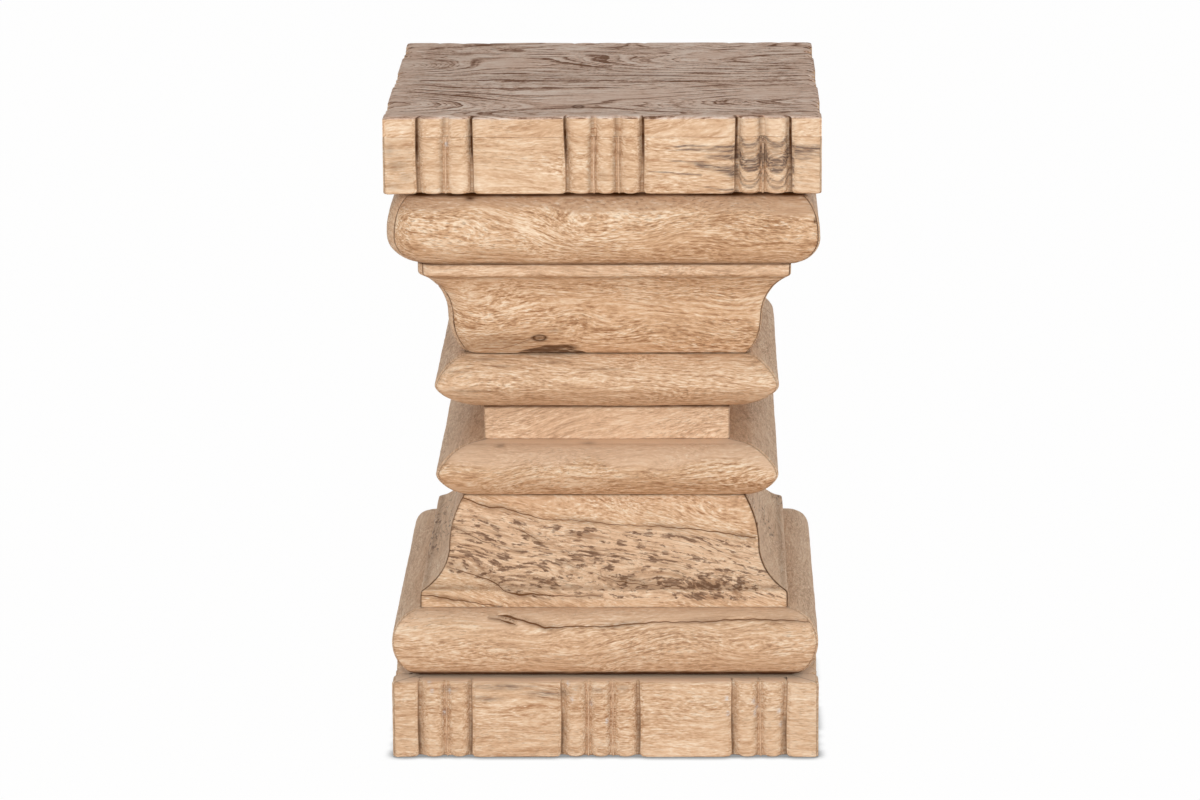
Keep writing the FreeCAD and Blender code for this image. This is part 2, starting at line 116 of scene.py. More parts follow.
# %% Helpers for nodes
class Recipe:
    """The node tree of a material or of the world, filled one node at a time."""

    def __init__(self, owner):
        owner.use_nodes = True
        self.tree = owner.node_tree
        self.tree.nodes.clear()

    def add(self, kind, inputs=None, **settings):
        """Adds a node, sets its settings, and links or sets the named or numbered inputs."""
        made = self.tree.nodes.new("ShaderNode" + kind)
        for key, value in settings.items():
            setattr(made, key, value)
        for key, value in (inputs or {}).items():
            if isinstance(value, bpy.types.NodeSocket):
                self.tree.links.new(value, made.inputs[key])
            else:
                made.inputs[key].default_value = value
        return made

    def reckon(self, kind, *values, clamp=False):
        """One Math node, such as FRACT or ABSOLUTE, and its result."""
        return self.add("Math", dict(enumerate(values)), operation=kind, use_clamp=clamp).outputs[0]

    def plus(self, first, second, clamp=False):
        """The sum of two numbers."""
        return self.reckon("ADD", first, second, clamp=clamp)

    def less(self, first, second):
        """The first number less the second."""
        return self.reckon("SUBTRACT", first, second)

    def times(self, first, second, clamp=False):
        """The product of two numbers."""
        return self.reckon("MULTIPLY", first, second, clamp=clamp)

    def larger(self, first, second):
        """The larger of two numbers."""
        return self.reckon("MAXIMUM", first, second)

    def ramp(self, value, low, high, bottom=0.0, top=1.0, kind="SMOOTHSTEP"):
        """The value from low to high turned into bottom to top."""
        inputs = {"Value": value, "From Min": low, "From Max": high, "To Min": bottom, "To Max": top}
        return self.add("MapRange", inputs, interpolation_type=kind, clamp=True).outputs[0]


print("calls of a recipe:", [name for name in vars(Recipe) if not name.startswith("_")])

# %% [markdown]
# The studio has a large soft lamp near the camera, a weaker one on the right and an even light all round.
# In the picture the background is plain white. More light would bleach the wood, so the white comes from
# what the camera and mirrors see of the world, while the wood gets a plain level of light.

# %% Lamps and background
TABLE_MIDDLE = Vector((0.0, 0.0, 0.27))
KEY_PLACE = (-0.45, -3.3, 1.0)
KEY_SIDE = 1.8
KEY_WATTS = 61.0
FILL_PLACE = (2.8, -1.6, 1.3)
FILL_SIDE = 1.5
FILL_WATTS = 16.0
ALL_ROUND_LIGHT = 0.46
WHITE = (1.0, 1.0, 1.0, 1.0)


def soft_lamp(name, place, side, watts):
    """A square lamp that faces the middle of the table."""
    lamp = bpy.data.lights.new(name, "AREA")
    lamp.shape = "SQUARE"
    lamp.size = side
    lamp.energy = watts
    holder = bpy.data.objects.new(name, lamp)
    holder.location = place
    holder.rotation_mode = "QUATERNION"
    holder.rotation_quaternion = (TABLE_MIDDLE - Vector(place)).to_track_quat("-Z", "Y")
    bpy.context.scene.collection.objects.link(holder)


def seen_directly(recipe):
    """1 for rays that come straight from the camera or off a shiny or clear surface, else 0."""
    path = recipe.add("LightPath").outputs
    shiny = recipe.larger(path["Is Glossy Ray"], path["Is Transmission Ray"])
    return recipe.larger(path["Is Camera Ray"], shiny)


soft_lamp("key lamp", KEY_PLACE, KEY_SIDE, KEY_WATTS)
soft_lamp("fill lamp", FILL_PLACE, FILL_SIDE, FILL_WATTS)
world = bpy.data.worlds.new("studio")
sky = Recipe(world)
dim = sky.add("Background", {"Color": WHITE, "Strength": ALL_ROUND_LIGHT})
bright = sky.add("Background", {"Color": WHITE, "Strength": 1.0})
either = sky.add("MixShader", {0: seen_directly(sky), 1: dim.outputs[0], 2: bright.outputs[0]})
sky.add("OutputWorld", {"Surface": either.outputs[0]})
bpy.context.scene.world = world
bpy.context.scene.view_settings.view_transform = "Standard"

# %% [markdown]
# The camera sees the floor as white too. To the wood it is a warm tan, which sends some warm light back
# under the mouldings. A shadow catcher could show where the table stands, but the lamps are so soft that
# there is only a thin line of shade. Ambient occlusion finds it: the floor darkens where wood is very near.

# %% Floor
FLOOR_HALF = 9.0
FLOOR_LEVEL = -0.0004
FLOOR_TAN = (0.74, 0.580, 0.470, 1.0)
WHITE_SHARE = 0.985
TOUCH_REACH = 0.009
TOUCH_SAMPLES = 12
TOUCH_OPEN = (0.48, 0.94)
TOUCH_GLOW = (0.30, 1.0)
CORNERS = ((-1, -1), (1, -1), (1, 1), (-1, 1))

floor_mesh = bpy.data.meshes.new("floor")
floor_corners = [(x * FLOOR_HALF, y * FLOOR_HALF, FLOOR_LEVEL) for x, y in CORNERS]
floor_mesh.from_pydata(floor_corners, [], [(0, 1, 2, 3)])
floor = bpy.data.objects.new("floor", floor_mesh)
bpy.context.scene.collection.objects.link(floor)
floor_paint = bpy.data.materials.new("pale floor")
paint = Recipe(floor_paint)
matt = paint.add("BsdfDiffuse", {"Color": FLOOR_TAN})
open_floor = paint.add("AmbientOcclusion", {"Distance": TOUCH_REACH}, samples=TOUCH_SAMPLES).outputs["AO"]
touch_shade = paint.ramp(open_floor, *TOUCH_OPEN, *TOUCH_GLOW, kind="LINEAR")
glow = paint.add("Emission", {"Color": WHITE, "Strength": touch_shade})
share = paint.times(seen_directly(paint), WHITE_SHARE)
mixed = paint.add("MixShader", {0: share, 1: matt.outputs[0], 2: glow.outputs[0]})
paint.add("OutputMaterial", {"Surface": mixed.outputs[0]})
floor_mesh.materials.append(floor_paint)
print("floor:", 2 * FLOOR_HALF, "m wide, shaded within", TOUCH_REACH, "m of the table")

# %% [markdown]
# The wood is one recipe with different numbers. Real wood is a stack of growth rings, so its pattern is
# solid: what shows on a face is where that face cuts the rings. Each length of wood below carries a point
# attribute, board, with its own place in its own tree: x runs along the grain, and y and z lie across it,
# measured from the heart of the tree. Image textures could show one side only. Other attributes, the
# marks, say where the wood is stained, cracked or dirty. These are the calls that read and mix them.

# %% Helpers for finishes
NOISE_MIDDLE = 0.5
MIX_FIRST = 6
MIX_SECOND = 7
MIX_RESULT = 2


class Finish(Recipe):
    """A material that is patterned by noise and by what each point of the wood carries."""

    def __init__(self, name):
        self.material = bpy.data.materials.new(name)
        super().__init__(self.material)

    def vector(self, kind, *values):
        """One Vector Math node."""
        return self.add("VectorMath", dict(enumerate(values)), operation=kind)

    def cloud(self, place, stretch, detail=2.0, rough=0.5):
        """Noise from 0 to 1 whose blotches are 1 / stretch metres long in x, y and z."""
        spread = self.vector("MULTIPLY", place, stretch).outputs[0]
        return self.add("TexNoise", {"Vector": spread, "Scale": 1.0, "Detail": detail, "Roughness": rough})

    def mark(self, name):
        """A number that each point of the mesh carries."""
        return self.add("Attribute", attribute_name=name).outputs["Fac"]

    def part(self, value, strength, middle=NOISE_MIDDLE):
        """How far the value is above its middle, made stronger or weaker."""
        return self.times(self.less(value, middle), strength)

    def blend(self, share_of, first, second):
        """A mix of two colours, each from a node or fixed."""
        inputs = {"Factor": share_of}
        for socket, colour in ((MIX_FIRST, first), (MIX_SECOND, second)):
            inputs[socket] = colour if isinstance(colour, bpy.types.NodeSocket) else (*colour, 1.0)
        return self.add("Mix", inputs, data_type="RGBA").outputs[MIX_RESULT]

    def three_tones(self, tone, tones):
        """A colour from three tones, dark, middle and light."""
        stops = self.add("ValToRGB", {"Fac": tone})
        stops.color_ramp.elements[0].color = (*tones[0], 1.0)
        stops.color_ramp.elements[1].color = (*tones[2], 1.0)
        stops.color_ramp.elements.new(0.5).color = (*tones[1], 1.0)
        return stops.outputs["Color"]

    def surface(self, colour, rough, height, strength, depth, fixed=None):
        """Ends the recipe with a shader, whose surface seems raised where height is large."""
        bump = self.add("Bump", {"Height": height, "Strength": strength, "Distance": depth})
        inputs = {"Base Color": colour, "Roughness": rough, "Normal": bump.outputs[0], **(fixed or {})}
        shader = self.add("BsdfPrincipled", inputs)
        self.add("OutputMaterial", {"Surface": shader.outputs[0]})
        return self.material


print("more calls of a finish:", [name for name in vars(Finish) if not name.startswith("_")])

# %% [markdown]
# Noise of many sizes makes wood look real: long thin fibres, short sharp pores, broad soft figure. The
# table gives each noise its stretch along and across the grain, in blotches to the metre, and how fine
# and rough its detail is. The colours are linear, as the shader takes them.

# %% Sizes of the grain, and colours
Noise = namedtuple("Noise", "along across detail rough", defaults=(2.0, 0.5))
NOISES = {
    "sway": Noise(11.0, 24.0, 1.0, 0.6),
    "uneven": Noise(3.0, 40.0),
    "long_fibre": Noise(36.0, 430.0, 4.0, 0.7),
    "short_fibre": Noise(170.0, 950.0, 2.0, 0.6),
    "mottle": Noise(40.0, 115.0, 3.0, 0.6),
    "patch": Noise(9.0, 24.0, 1.0),
    "flow": Noise(15.0, 220.0, 3.0, 0.6),
    "rough_patch": Noise(13.0, 36.0),
    "pore": Noise(210.0, 1500.0, 1.0),
    "pore_patch": Noise(9.0, 34.0),
    "unsteady": Noise(16.0, 45.0, 3.0),
    "broken": Noise(14.0, 130.0, 3.0, 0.6),
    "long_streak": Noise(8.0, 210.0, 3.0, 0.6),
    "fine_streak": Noise(45.0, 420.0, 2.0, 0.6),
    "speck": Noise(420.0, 560.0, 2.0, 0.6),
    "blotch": Noise(13.0, 20.0),
    "streak": Noise(60.0, 700.0, 3.0, 0.65),
    "band": Noise(10.0, 85.0, 2.0, 0.55),
    "stain": Noise(20.0, 280.0, 3.0, 0.6),
    "vein": Noise(6.0, 75.0),
    "dash": Noise(98.0, 295.0, 3.0, 0.62),
    "pinhole": Noise(520.0, 900.0, 1.0),
}
# This dark brown is for dirt, and for painted shade in grooves, seams and under overhangs.
DIRT_AND_SHADE_BROWN = (0.078, 0.027, 0.006)
CRACK_BROWN = (0.125, 0.047, 0.014)
STAIN_BROWN = (0.33, 0.180, 0.092)
VEIN_BROWN = (0.21, 0.102, 0.048)
PORE_BROWN = (0.20, 0.105, 0.050)
FLECK_BROWN = (0.165, 0.088, 0.052)
SPALT_GREY = (0.165, 0.112, 0.088)
BARK = (0.067, 0.022, 0.006)
RUBBED = (0.685, 0.460, 0.313)
# This pale tone is for dust, and for painted light on ledges, flanks, sides and rib crests.
PALE_DUST_AND_LIGHT = (0.86, 0.655, 0.480)
GLINT = (0.90, 0.785, 0.635)
RESIDUE = (0.70, 0.72, 0.76)
CREAM = ((0.44, 0.240, 0.125), (0.730, 0.515, 0.337), (0.91, 0.760, 0.585))
TAN = ((0.38, 0.200, 0.100), (0.70, 0.465, 0.288), (0.88, 0.720, 0.535))
HONEY = ((0.35, 0.183, 0.089), (0.67, 0.437, 0.265), (0.87, 0.710, 0.530))
GREYED = ((0.220, 0.112, 0.066), (0.720, 0.496, 0.374), (0.90, 0.745, 0.630))


def noise_node(recipe, name, place):
    """The node of a noise from the table, laid along the grain."""
    size = NOISES[name]
    return recipe.cloud(place, (size.along, size.across, size.across), size.detail, size.rough)


def noise(recipe, name, place):
    """A noise from the table as a number from 0 to 1."""
    return noise_node(recipe, name, place).outputs[0]


print("noises:", len(NOISES))

# %% [markdown]
# The grain of a real board sways. The recipe bends the space of the tree a little, cuts growth rings by the
# distance from the heart, and lays fibres and pores along the bent grain. A wave texture could draw rings
# too, but its lines are too even. Where the wood is rubbed, a mark called calm, all is fainter.

# %% Grain
CALM_SHARE = 0.35


def swayed(recipe, amount):
    """The place in the tree, with a grain that sways by up to half the amount."""
    sway = recipe.vector("MULTIPLY", recipe.sway, (0.0, amount, amount)).outputs[0]
    return recipe.vector("ADD", recipe.board, sway).outputs[0]


def saw_line(recipe, count, rise_from, rise_to, fall_from):
    """A line in each whole step of the count: it rises slowly, and falls at the end of the step."""
    place = recipe.reckon("FRACT", count)
    return recipe.less(recipe.ramp(place, rise_from, rise_to), recipe.ramp(place, fall_from, 1.0))


def lay_grain(recipe, ring_width, curl):
    """Bends the grain, and keeps the patterns that several steps of the recipe use."""
    recipe.board = recipe.add("Attribute", attribute_name="board").outputs["Vector"]
    sway_colour = noise_node(recipe, "sway", recipe.board).outputs["Color"]
    recipe.sway = recipe.vector("SUBTRACT", sway_colour, [NOISE_MIDDLE] * 3).outputs[0]
    recipe.grain = swayed(recipe, curl)
    across = recipe.vector("MULTIPLY", recipe.grain, (0.0, 1.0, 1.0)).outputs[0]
    from_heart = recipe.vector("LENGTH", across).outputs["Value"]
    uneven = noise(recipe, "uneven", recipe.board)
    rings = recipe.plus(recipe.reckon("DIVIDE", from_heart, ring_width), uneven)
    recipe.ring = saw_line(recipe, rings, 0.40, 0.90, 0.90)
    recipe.long_fibre = noise(recipe, "long_fibre", recipe.grain)
    recipe.short_fibre = noise(recipe, "short_fibre", recipe.grain)
    recipe.mottle = noise(recipe, "mottle", recipe.grain)
    recipe.streak = noise(recipe, "streak", recipe.grain)
    pore_patch = recipe.ramp(noise(recipe, "pore_patch", recipe.board), 0.40, 0.60)
    recipe.pore = recipe.times(recipe.ramp(noise(recipe, "pore", recipe.grain), 0.58, 0.68), pore_patch)
    recipe.calm = recipe.mark("calm")
    recipe.lively = recipe.less(1.0, recipe.times(recipe.calm, CALM_SHARE))


print("grain: rubbed wood is", CALM_SHARE, "less lively")

# %% [markdown]
# Clean wood has a tone that goes up and down with its fibres, its broad figure and its rings, and a ramp
# of three colours turns the tone into a colour. Glints and pores come on top. A mix of fixed colours for
# each pattern would be simpler, but then the patterns would hide each other instead of adding up.

# %% Fresh wood
FLOW_CURL = 1.7
RING_MIDDLE = 0.35


def fresh_colour(recipe, tones, curl, ring_depth, fibre, figure, pores, spot_colour):
    """The colour of clean wood: fibres, figure and rings, then glints and pores over them."""
    rough_patch = recipe.ramp(noise(recipe, "rough_patch", recipe.board), 0.36, 0.64, 0.55, 1.35)
    dashes = recipe.times(recipe.part(recipe.short_fibre, fibre * 1.6), rough_patch)
    fibres = recipe.plus(recipe.part(recipe.long_fibre, fibre * 1.55), dashes)
    patch = noise(recipe, "patch", recipe.board)
    flow = noise(recipe, "flow", swayed(recipe, curl * FLOW_CURL))
    broad = recipe.plus(recipe.part(recipe.mottle, figure * 0.7), recipe.part(patch, figure))
    shades = recipe.plus(broad, recipe.part(flow, figure * 1.5))
    rings = recipe.part(recipe.ring, -ring_depth, RING_MIDDLE)
    calmed = recipe.times(recipe.plus(recipe.plus(fibres, shades), rings), recipe.lively)
    colour = recipe.three_tones(recipe.plus(calmed, NOISE_MIDDLE, clamp=True), tones)
    colour = recipe.blend(recipe.times(recipe.calm, CALM_SHARE), colour, RUBBED)
    glint = recipe.times(recipe.ramp(recipe.short_fibre, 0.60, 0.72, 0.0, 0.55), rough_patch)
    colour = recipe.blend(recipe.times(glint, recipe.lively), colour, GLINT)
    return recipe.blend(recipe.times(recipe.pore, pores), colour, spot_colour)


print("fresh wood: the broad figure sways", FLOW_CURL, "times as far as the fibres")

# %% [markdown]
# The top of the table is worn and grey, with dark lines where the layers of growth come to the surface.
# There the rings of one tree would lie too evenly, so the top board carries a count of its layers, an
# attribute called growth, which swells where the real lines bend. Bold and fine lines are cut from it.

# %% Weathered wood
LAYER_THICK = 0.016
LAYER_WANDER = 0.8
FINE_LINES = 4.0
FINE_SHARE = 0.72
LINE_DARK = -0.82
LINE_MIDDLE = 0.22
STILL_SHARE = 0.70
CALM_LIFT = 0.14


def weathered_colour(recipe, fresh, tones):
    """The colour with the worn top over it, and the growth lines of that top."""
    unsteady = noise(recipe, "unsteady", recipe.board)
    growth = recipe.plus(recipe.mark("growth"), recipe.part(unsteady, LAYER_WANDER))
    along = recipe.add("SeparateXYZ", {0: recipe.board}).outputs[0]
    bent = recipe.add("CombineXYZ", {0: along, 1: recipe.times(growth, LAYER_THICK)}).outputs[0]
    bold = saw_line(recipe, growth, 0.55, 0.90, 0.91)
    fine = saw_line(recipe, recipe.times(growth, FINE_LINES), 0.45, 0.85, 0.85)
    broken = recipe.ramp(noise(recipe, "broken", bent), 0.38, 0.60, 0.08, 1.0)
    lines = recipe.times(recipe.plus(bold, recipe.times(fine, FINE_SHARE)), broken)
    long_streak = recipe.part(noise(recipe, "long_streak", bent), 1.7)
    fine_streak = recipe.part(noise(recipe, "fine_streak", recipe.grain), 2.8)
    blotch = recipe.part(noise(recipe, "blotch", recipe.board), 0.6)
    speck = recipe.part(noise(recipe, "speck", recipe.grain), 1.3)
    spread = recipe.plus(recipe.plus(long_streak, fine_streak), recipe.plus(blotch, speck))
    parts = recipe.plus(spread, recipe.part(lines, LINE_DARK, LINE_MIDDLE))
    still = recipe.less(1.0, recipe.times(recipe.calm, STILL_SHARE))
    calmed = recipe.plus(recipe.times(parts, still), recipe.times(recipe.calm, CALM_LIFT))
    worn = recipe.three_tones(recipe.plus(calmed, NOISE_MIDDLE, clamp=True), tones)
    edge = recipe.plus(recipe.mark("weather"), recipe.part(recipe.mottle, 0.3), clamp=True)
    return recipe.blend(recipe.ramp(edge, 0.30, 0.70), fresh, worn), lines


print("weathered wood:", round(FINE_LINES), "fine lines to a layer")

# %% [markdown]
# Over the clean wood come the marks of growth and use. From the bottom up they are dust, which also paints
# light on shaded ledges and sides, a grey stain such as a fungus leaves, brown flecks in rows with thin
# veins, bark left in knots, pale residue, dirt, which also paints shade in grooves and under overhangs, and
# cracks. They could be painted on by hand, but noise tears their edges at any size.

# %% Stains, flecks, dirt and cracks
CRACK_EDGE = 0.0002
MARK_SHARE = 0.95


def flecked_colour(recipe, colour, spot_colour):
    """The colour with dust and painted light, grey stain and brown flecks over it."""
    # Painted light: the dust mark also lightens shaded ledges, the sides and the crests of ribs.
    colour = recipe.blend(recipe.mark("dust"), colour, PALE_DUST_AND_LIGHT)
    spalt = recipe.times(recipe.mark("spalt"), recipe.ramp(recipe.streak, 0.36, 0.60, 0.30, 1.0))
    colour = recipe.blend(recipe.times(spalt, MARK_SHARE), colour, SPALT_GREY)
    flecked = recipe.mark("fleck")
    in_band = recipe.ramp(noise(recipe, "band", recipe.grain), 0.40, 0.60, 0.72, 1.0)
    crowded = recipe.times(flecked, in_band)
    stain_limit = recipe.ramp(crowded, 0.0, 1.0, 0.68, 0.43, "LINEAR")
    over_stain = recipe.less(noise(recipe, "stain", recipe.grain), stain_limit)
    colour = recipe.blend(recipe.ramp(over_stain, 0.0, 0.16, 0.0, 0.55), colour, STAIN_BROWN)
    from_vein = recipe.reckon("ABSOLUTE", recipe.part(noise(recipe, "vein", recipe.grain), 1.0))
    vein = recipe.times(flecked, recipe.ramp(from_vein, 0.005, 0.018, 0.45, 0.0))
    colour = recipe.blend(vein, colour, VEIN_BROWN)
    dash_limit = recipe.ramp(crowded, 0.0, 1.0, 0.74, 0.415, "LINEAR")
    over_dash = recipe.less(noise(recipe, "dash", recipe.grain), dash_limit)
    torn = recipe.ramp(recipe.streak, 0.36, 0.58, 0.55, 1.0)
    fleck = recipe.times(recipe.ramp(over_dash, 0.0, 0.10), torn)
    pinhole = recipe.times(flecked, recipe.ramp(noise(recipe, "pinhole", recipe.grain), 0.72, 0.76))
    return recipe.blend(recipe.times(recipe.larger(fleck, pinhole), MARK_SHARE), colour, spot_colour)


def dirty_and_shaded_colour(recipe, colour):
    """The colour with bark, residue, dirt and painted shade, and cracks over it."""
    bark = recipe.times(recipe.mark("bark"), recipe.ramp(recipe.streak, 0.32, 0.52, 0.45, 1.0))
    colour = recipe.blend(bark, colour, BARK)
    pale_spot = recipe.times(recipe.mark("pale"), recipe.ramp(recipe.short_fibre, 0.40, 0.60, 0.2, 1.0))
    colour = recipe.blend(pale_spot, colour, RESIDUE)
    patchy = recipe.ramp(recipe.mottle, 0.30, 0.65, 0.84, 1.10)
    # Painted shade: the grime mark also darkens grooves, seams and the wood under overhangs.
    colour = recipe.blend(recipe.times(recipe.mark("grime"), patchy, clamp=True), colour, DIRT_AND_SHADE_BROWN)
    off_crack = recipe.less(recipe.reckon("ABSOLUTE", recipe.mark("split")), recipe.mark("gape"))
    return recipe.blend(recipe.ramp(off_crack, -CRACK_EDGE, CRACK_EDGE, 0.92, 0.0), colour, CRACK_BROWN)


print("cracks are sharp to", 2 * CRACK_EDGE, "m")

# %% [markdown]
# The table needs four kinds of wood: light carved wood for the slab and the plinth, worn mouldings, the
# flecked lower ogee, and the grey top. One recipe makes them all, so they look like parts of one table.
# Fibres stand up a little and pores are dents, which a bump shows without more points in the mesh.

# %% Finishes of wood
BUMP_STRENGTH = 0.55
BUMP_DEPTH = 0.0007


def wood(name, tones, ring_width, ring_depth, fibre, figure, pores, curl=0.026, dull=0.56, shine=0.10,
         spot_colour=PORE_BROWN, weathered=None):
    """A procedural wood. Tones are linear colours, and the other numbers say how strong each part is."""
    recipe = Finish(name)
    lay_grain(recipe, ring_width, curl)
    colour = fresh_colour(recipe, tones, curl, ring_depth, fibre, figure, pores, spot_colour)
    lines = recipe.ring
    if weathered:
        colour, lines = weathered_colour(recipe, colour, weathered)
    colour = flecked_colour(recipe, colour, spot_colour)
    colour = dirty_and_shaded_colour(recipe, colour)
    rises = recipe.plus(recipe.part(recipe.long_fibre, 0.5), recipe.part(recipe.short_fibre, 0.6))
    falls = recipe.plus(recipe.times(recipe.pore, 0.5), recipe.times(lines, 0.25))
    height = recipe.times(recipe.less(rises, falls), recipe.lively)
    rough = recipe.plus(dull, recipe.times(recipe.pore, 0.12), clamp=True)
    rougher = recipe.plus(rough, recipe.part(recipe.mottle, 0.16), clamp=True)
    return recipe.surface(colour, rougher, height, BUMP_STRENGTH, BUMP_DEPTH, {"Specular IOR Level": shine})


finishes = {
    "carved_tan": wood("carved tan wood", CREAM, ring_width=0.0046, ring_depth=0.12, fibre=0.85,
                       figure=0.48, pores=0.25, curl=0.016),
    "worn_moulding": wood("worn moulding wood", HONEY, ring_width=0.0042, ring_depth=0.14, fibre=1.14,
                          figure=0.5, pores=0.45),
    "spotted_moulding": wood("spotted moulding wood", TAN, ring_width=0.0060, ring_depth=0.08, fibre=0.9,
                             figure=0.45, pores=0.2, spot_colour=FLECK_BROWN),
    "weathered_top": wood("weathered top wood", CREAM, ring_width=0.0120, ring_depth=0.10, fibre=0.75,
                          figure=0.8, pores=0.25, curl=0.030, dull=0.80, shine=0.06, weathered=GREYED),
}
print("wood finishes:", [material.name for material in finishes.values()])

# %% [markdown]
# Every moulding is a length of stock: an outline, called its face here, drawn out along the table's side
# and cut off at 45 degrees at both ends. Curves with a bevel could do that, but they keep the outline the
# same all along. A grid of points lets the corners be worn round, and lets every point sink a little, as
# in hand-cut wood. First come the bows and swells that faces are made of, and the wear of their edges.

# %% Arcs, swells and worn edges
FACE_STEP = 0.0009
EDGE_WORN = 0.0012
ARC_POINTS = 50
SWELL_POINTS = 200
WEAR_REACH = 2.5
Span = namedtuple("Span", "inner reach bottom top")


def span(layer):
    """Inner face, reach, bottom and top of a layer, from its front length."""
    low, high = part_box(layer + "_front")
    return Span(-high.y, -low.y, low.z, high.z)


def upright_arc(start, end):
    """Points of an arc from start to end that stands upright at its end. Points are (out, height)."""
    out = end[0] - start[0]
    rise = end[1] - start[1]
    radius = (out * out + rise * rise) / (2 * out)
    heights = start[1] + rise * np.sin(np.linspace(0.0, math.pi / 2, ARC_POINTS))
    across = np.sqrt(np.maximum(radius * radius - (heights - end[1]) ** 2, 0.0))
    return np.column_stack([end[0] - radius + math.copysign(1.0, radius) * across, heights])


def bulge(roots, place, nose, full_low, full_high):
    """A swell from bottom to top over a nose. A fullness of 1 is a straight flank, 2 a round one."""
    lift = np.sin(np.linspace(-math.pi / 2, math.pi / 2, SWELL_POINTS))
    full = np.where(lift < 0, full_low, full_high)
    root = np.where(lift < 0, roots[0], roots[1])
    swell = np.maximum(1 - np.abs(lift) ** full, 0.0) ** (1 / full)
    heights = nose + lift * np.where(lift < 0, nose - place.bottom, place.top - nose)
    return np.column_stack([root + (place.reach - root) * swell, heights])


def softened(points, step=FACE_STEP, worn=EDGE_WORN):
    """The outline with even steps, and with its edges worn over about that length."""
    lengths = np.concatenate([[0.0], np.cumsum(np.hypot(*np.diff(points, axis=0).T))])
    count = max(3, round(lengths[-1] / step))
    even = np.linspace(0.0, lengths[-1], count + 1)
    outline = np.column_stack([np.interp(even, lengths, points[:, i]) for i in range(2)])
    reach = max(1, round(WEAR_REACH * worn / step))
    weights = np.exp(-0.5 * (np.arange(-reach, reach + 1) * step / worn) ** 2)
    before = 2 * outline[0] - outline[reach:0:-1]
    after = 2 * outline[-1] - outline[-2:-reach - 2:-1]
    padded = np.concatenate([before, outline, after])
    return np.column_stack([np.convolve(padded[:, i], weights / weights.sum(), "valid") for i in range(2)])


for layer in ("plinth_rail", "lower_torus", "lower_ogee", "lower_ring", "neck_rail"):
    print(layer, "inner, reach, bottom, top in mm:", [round(v * 1000, 1) for v in span(layer)])

# %% [markdown]
# Now the faces themselves. The big half round is flatter than a circle below its nose and fuller above it.
# The ogee has a flat fillet at its wide end, then a hollow that runs out into a swell. The ring has two
# rounded flanks and a blunt nose, and the neck is plain. The boxes of the solids give most of the levels,
# and named values the rest. They could be traced from a photo by hand, but points that are worked out can
# be changed later.

# %% Faces of the mouldings
FOOT = 0.1095
WAIST = 0.1208
LEDGE = 0.0014
OGEE_WORN = 0.0020
RING_WORN = 0.0018
RING_NOSE_UP = 0.0010
UPPER_RING_ROOT = 0.0980
TORUS_FULL = (1.75, 2.3)
LOWER_RING_FULL = (1.45, 1.55)
UPPER_RING_FULL = (1.45, 1.60)
NECK_WORN = 0.0008
FLAT_STEP = 0.0008
FLAT_WORN = 0.0003
FLAT_EDGE_POINTS = 6


def torus_face(layer, nose_level):
    """The big half round."""
    root = span(layer.replace("torus", "ogee")).reach
    return softened(bulge((root, root), span(layer), nose_level, *TORUS_FULL))


def ogee_face(layer, fillet_end, waist_level):
    """The ogee: a flat fillet at its wide end, a hollow, and a swell to the ring."""
    place = span(layer)
    wide_low = fillet_end < waist_level
    wide, narrow = (place.bottom, place.top) if wide_low else (place.top, place.bottom)
    waist = (WAIST, waist_level)
    hollow = upright_arc((place.reach - LEDGE, fillet_end), waist)
    swell = upright_arc((FOOT, narrow), waist)[-2::-1]
    face = np.concatenate([[(place.reach, wide), (place.reach, fillet_end)], hollow, swell])
    return softened(face if wide_low else face[::-1], worn=OGEE_WORN)


def ring_face(layer, root_low, fullness):
    """The ring: two rounded flanks and a blunt nose."""
    place = span(layer)
    nose_level = (place.bottom + place.top) / 2 + RING_NOSE_UP
    return softened(bulge((root_low, FOOT), place, nose_level, *fullness), worn=RING_WORN)


def flat_face(layer, worn_low, worn_high):
    """A plain upright face with worn edges."""
    place = span(layer)
    turn_in = np.linspace(0.0, math.pi / 2, FLAT_EDGE_POINTS)
    inset = 1 - np.sin(turn_in)
    rise = 1 - np.cos(turn_in)
    low = np.column_stack([place.reach - worn_low * inset, place.bottom + worn_low * rise])
    high = np.column_stack([place.reach - worn_high * inset, place.top - worn_high * rise])[::-1]
    return softened(np.concatenate([low, high]), step=FLAT_STEP, worn=FLAT_WORN)


lower_fillet_end = span("lower_ogee").bottom + 0.0135
upper_fillet_end = span("upper_ogee").top - 0.0105
lower_waist_level = span("lower_ogee").bottom + 0.0435
upper_waist_level = span("upper_ogee").top - 0.0475
lower_nose_level = span("lower_torus").bottom + 0.031
upper_nose_level = span("upper_torus").top - 0.035
faces = {
    "lower_torus": torus_face("lower_torus", lower_nose_level),
    "lower_ogee": ogee_face("lower_ogee", lower_fillet_end, lower_waist_level),
    "lower_ring": ring_face("lower_ring", FOOT, LOWER_RING_FULL),
    "neck_rail": flat_face("neck_rail", NECK_WORN, NECK_WORN),
    "upper_ring": ring_face("upper_ring", UPPER_RING_ROOT, UPPER_RING_FULL),
    "upper_ogee": ogee_face("upper_ogee", upper_fillet_end, upper_waist_level),
    "upper_torus": torus_face("upper_torus", upper_nose_level),
}
print("points in each face:", {layer: len(face) for layer, face in faces.items()})

# %% [markdown]
# Nothing on the table is straight: it was cut and rubbed down by hand. A smooth random wander, a sum of a
# few waves in seeded directions, stands for that. It moves the wood by about a millimetre at most, mostly
# inwards. A displacement modifier could do it too, but then cracks and grooves could not be worked out
# together with it.


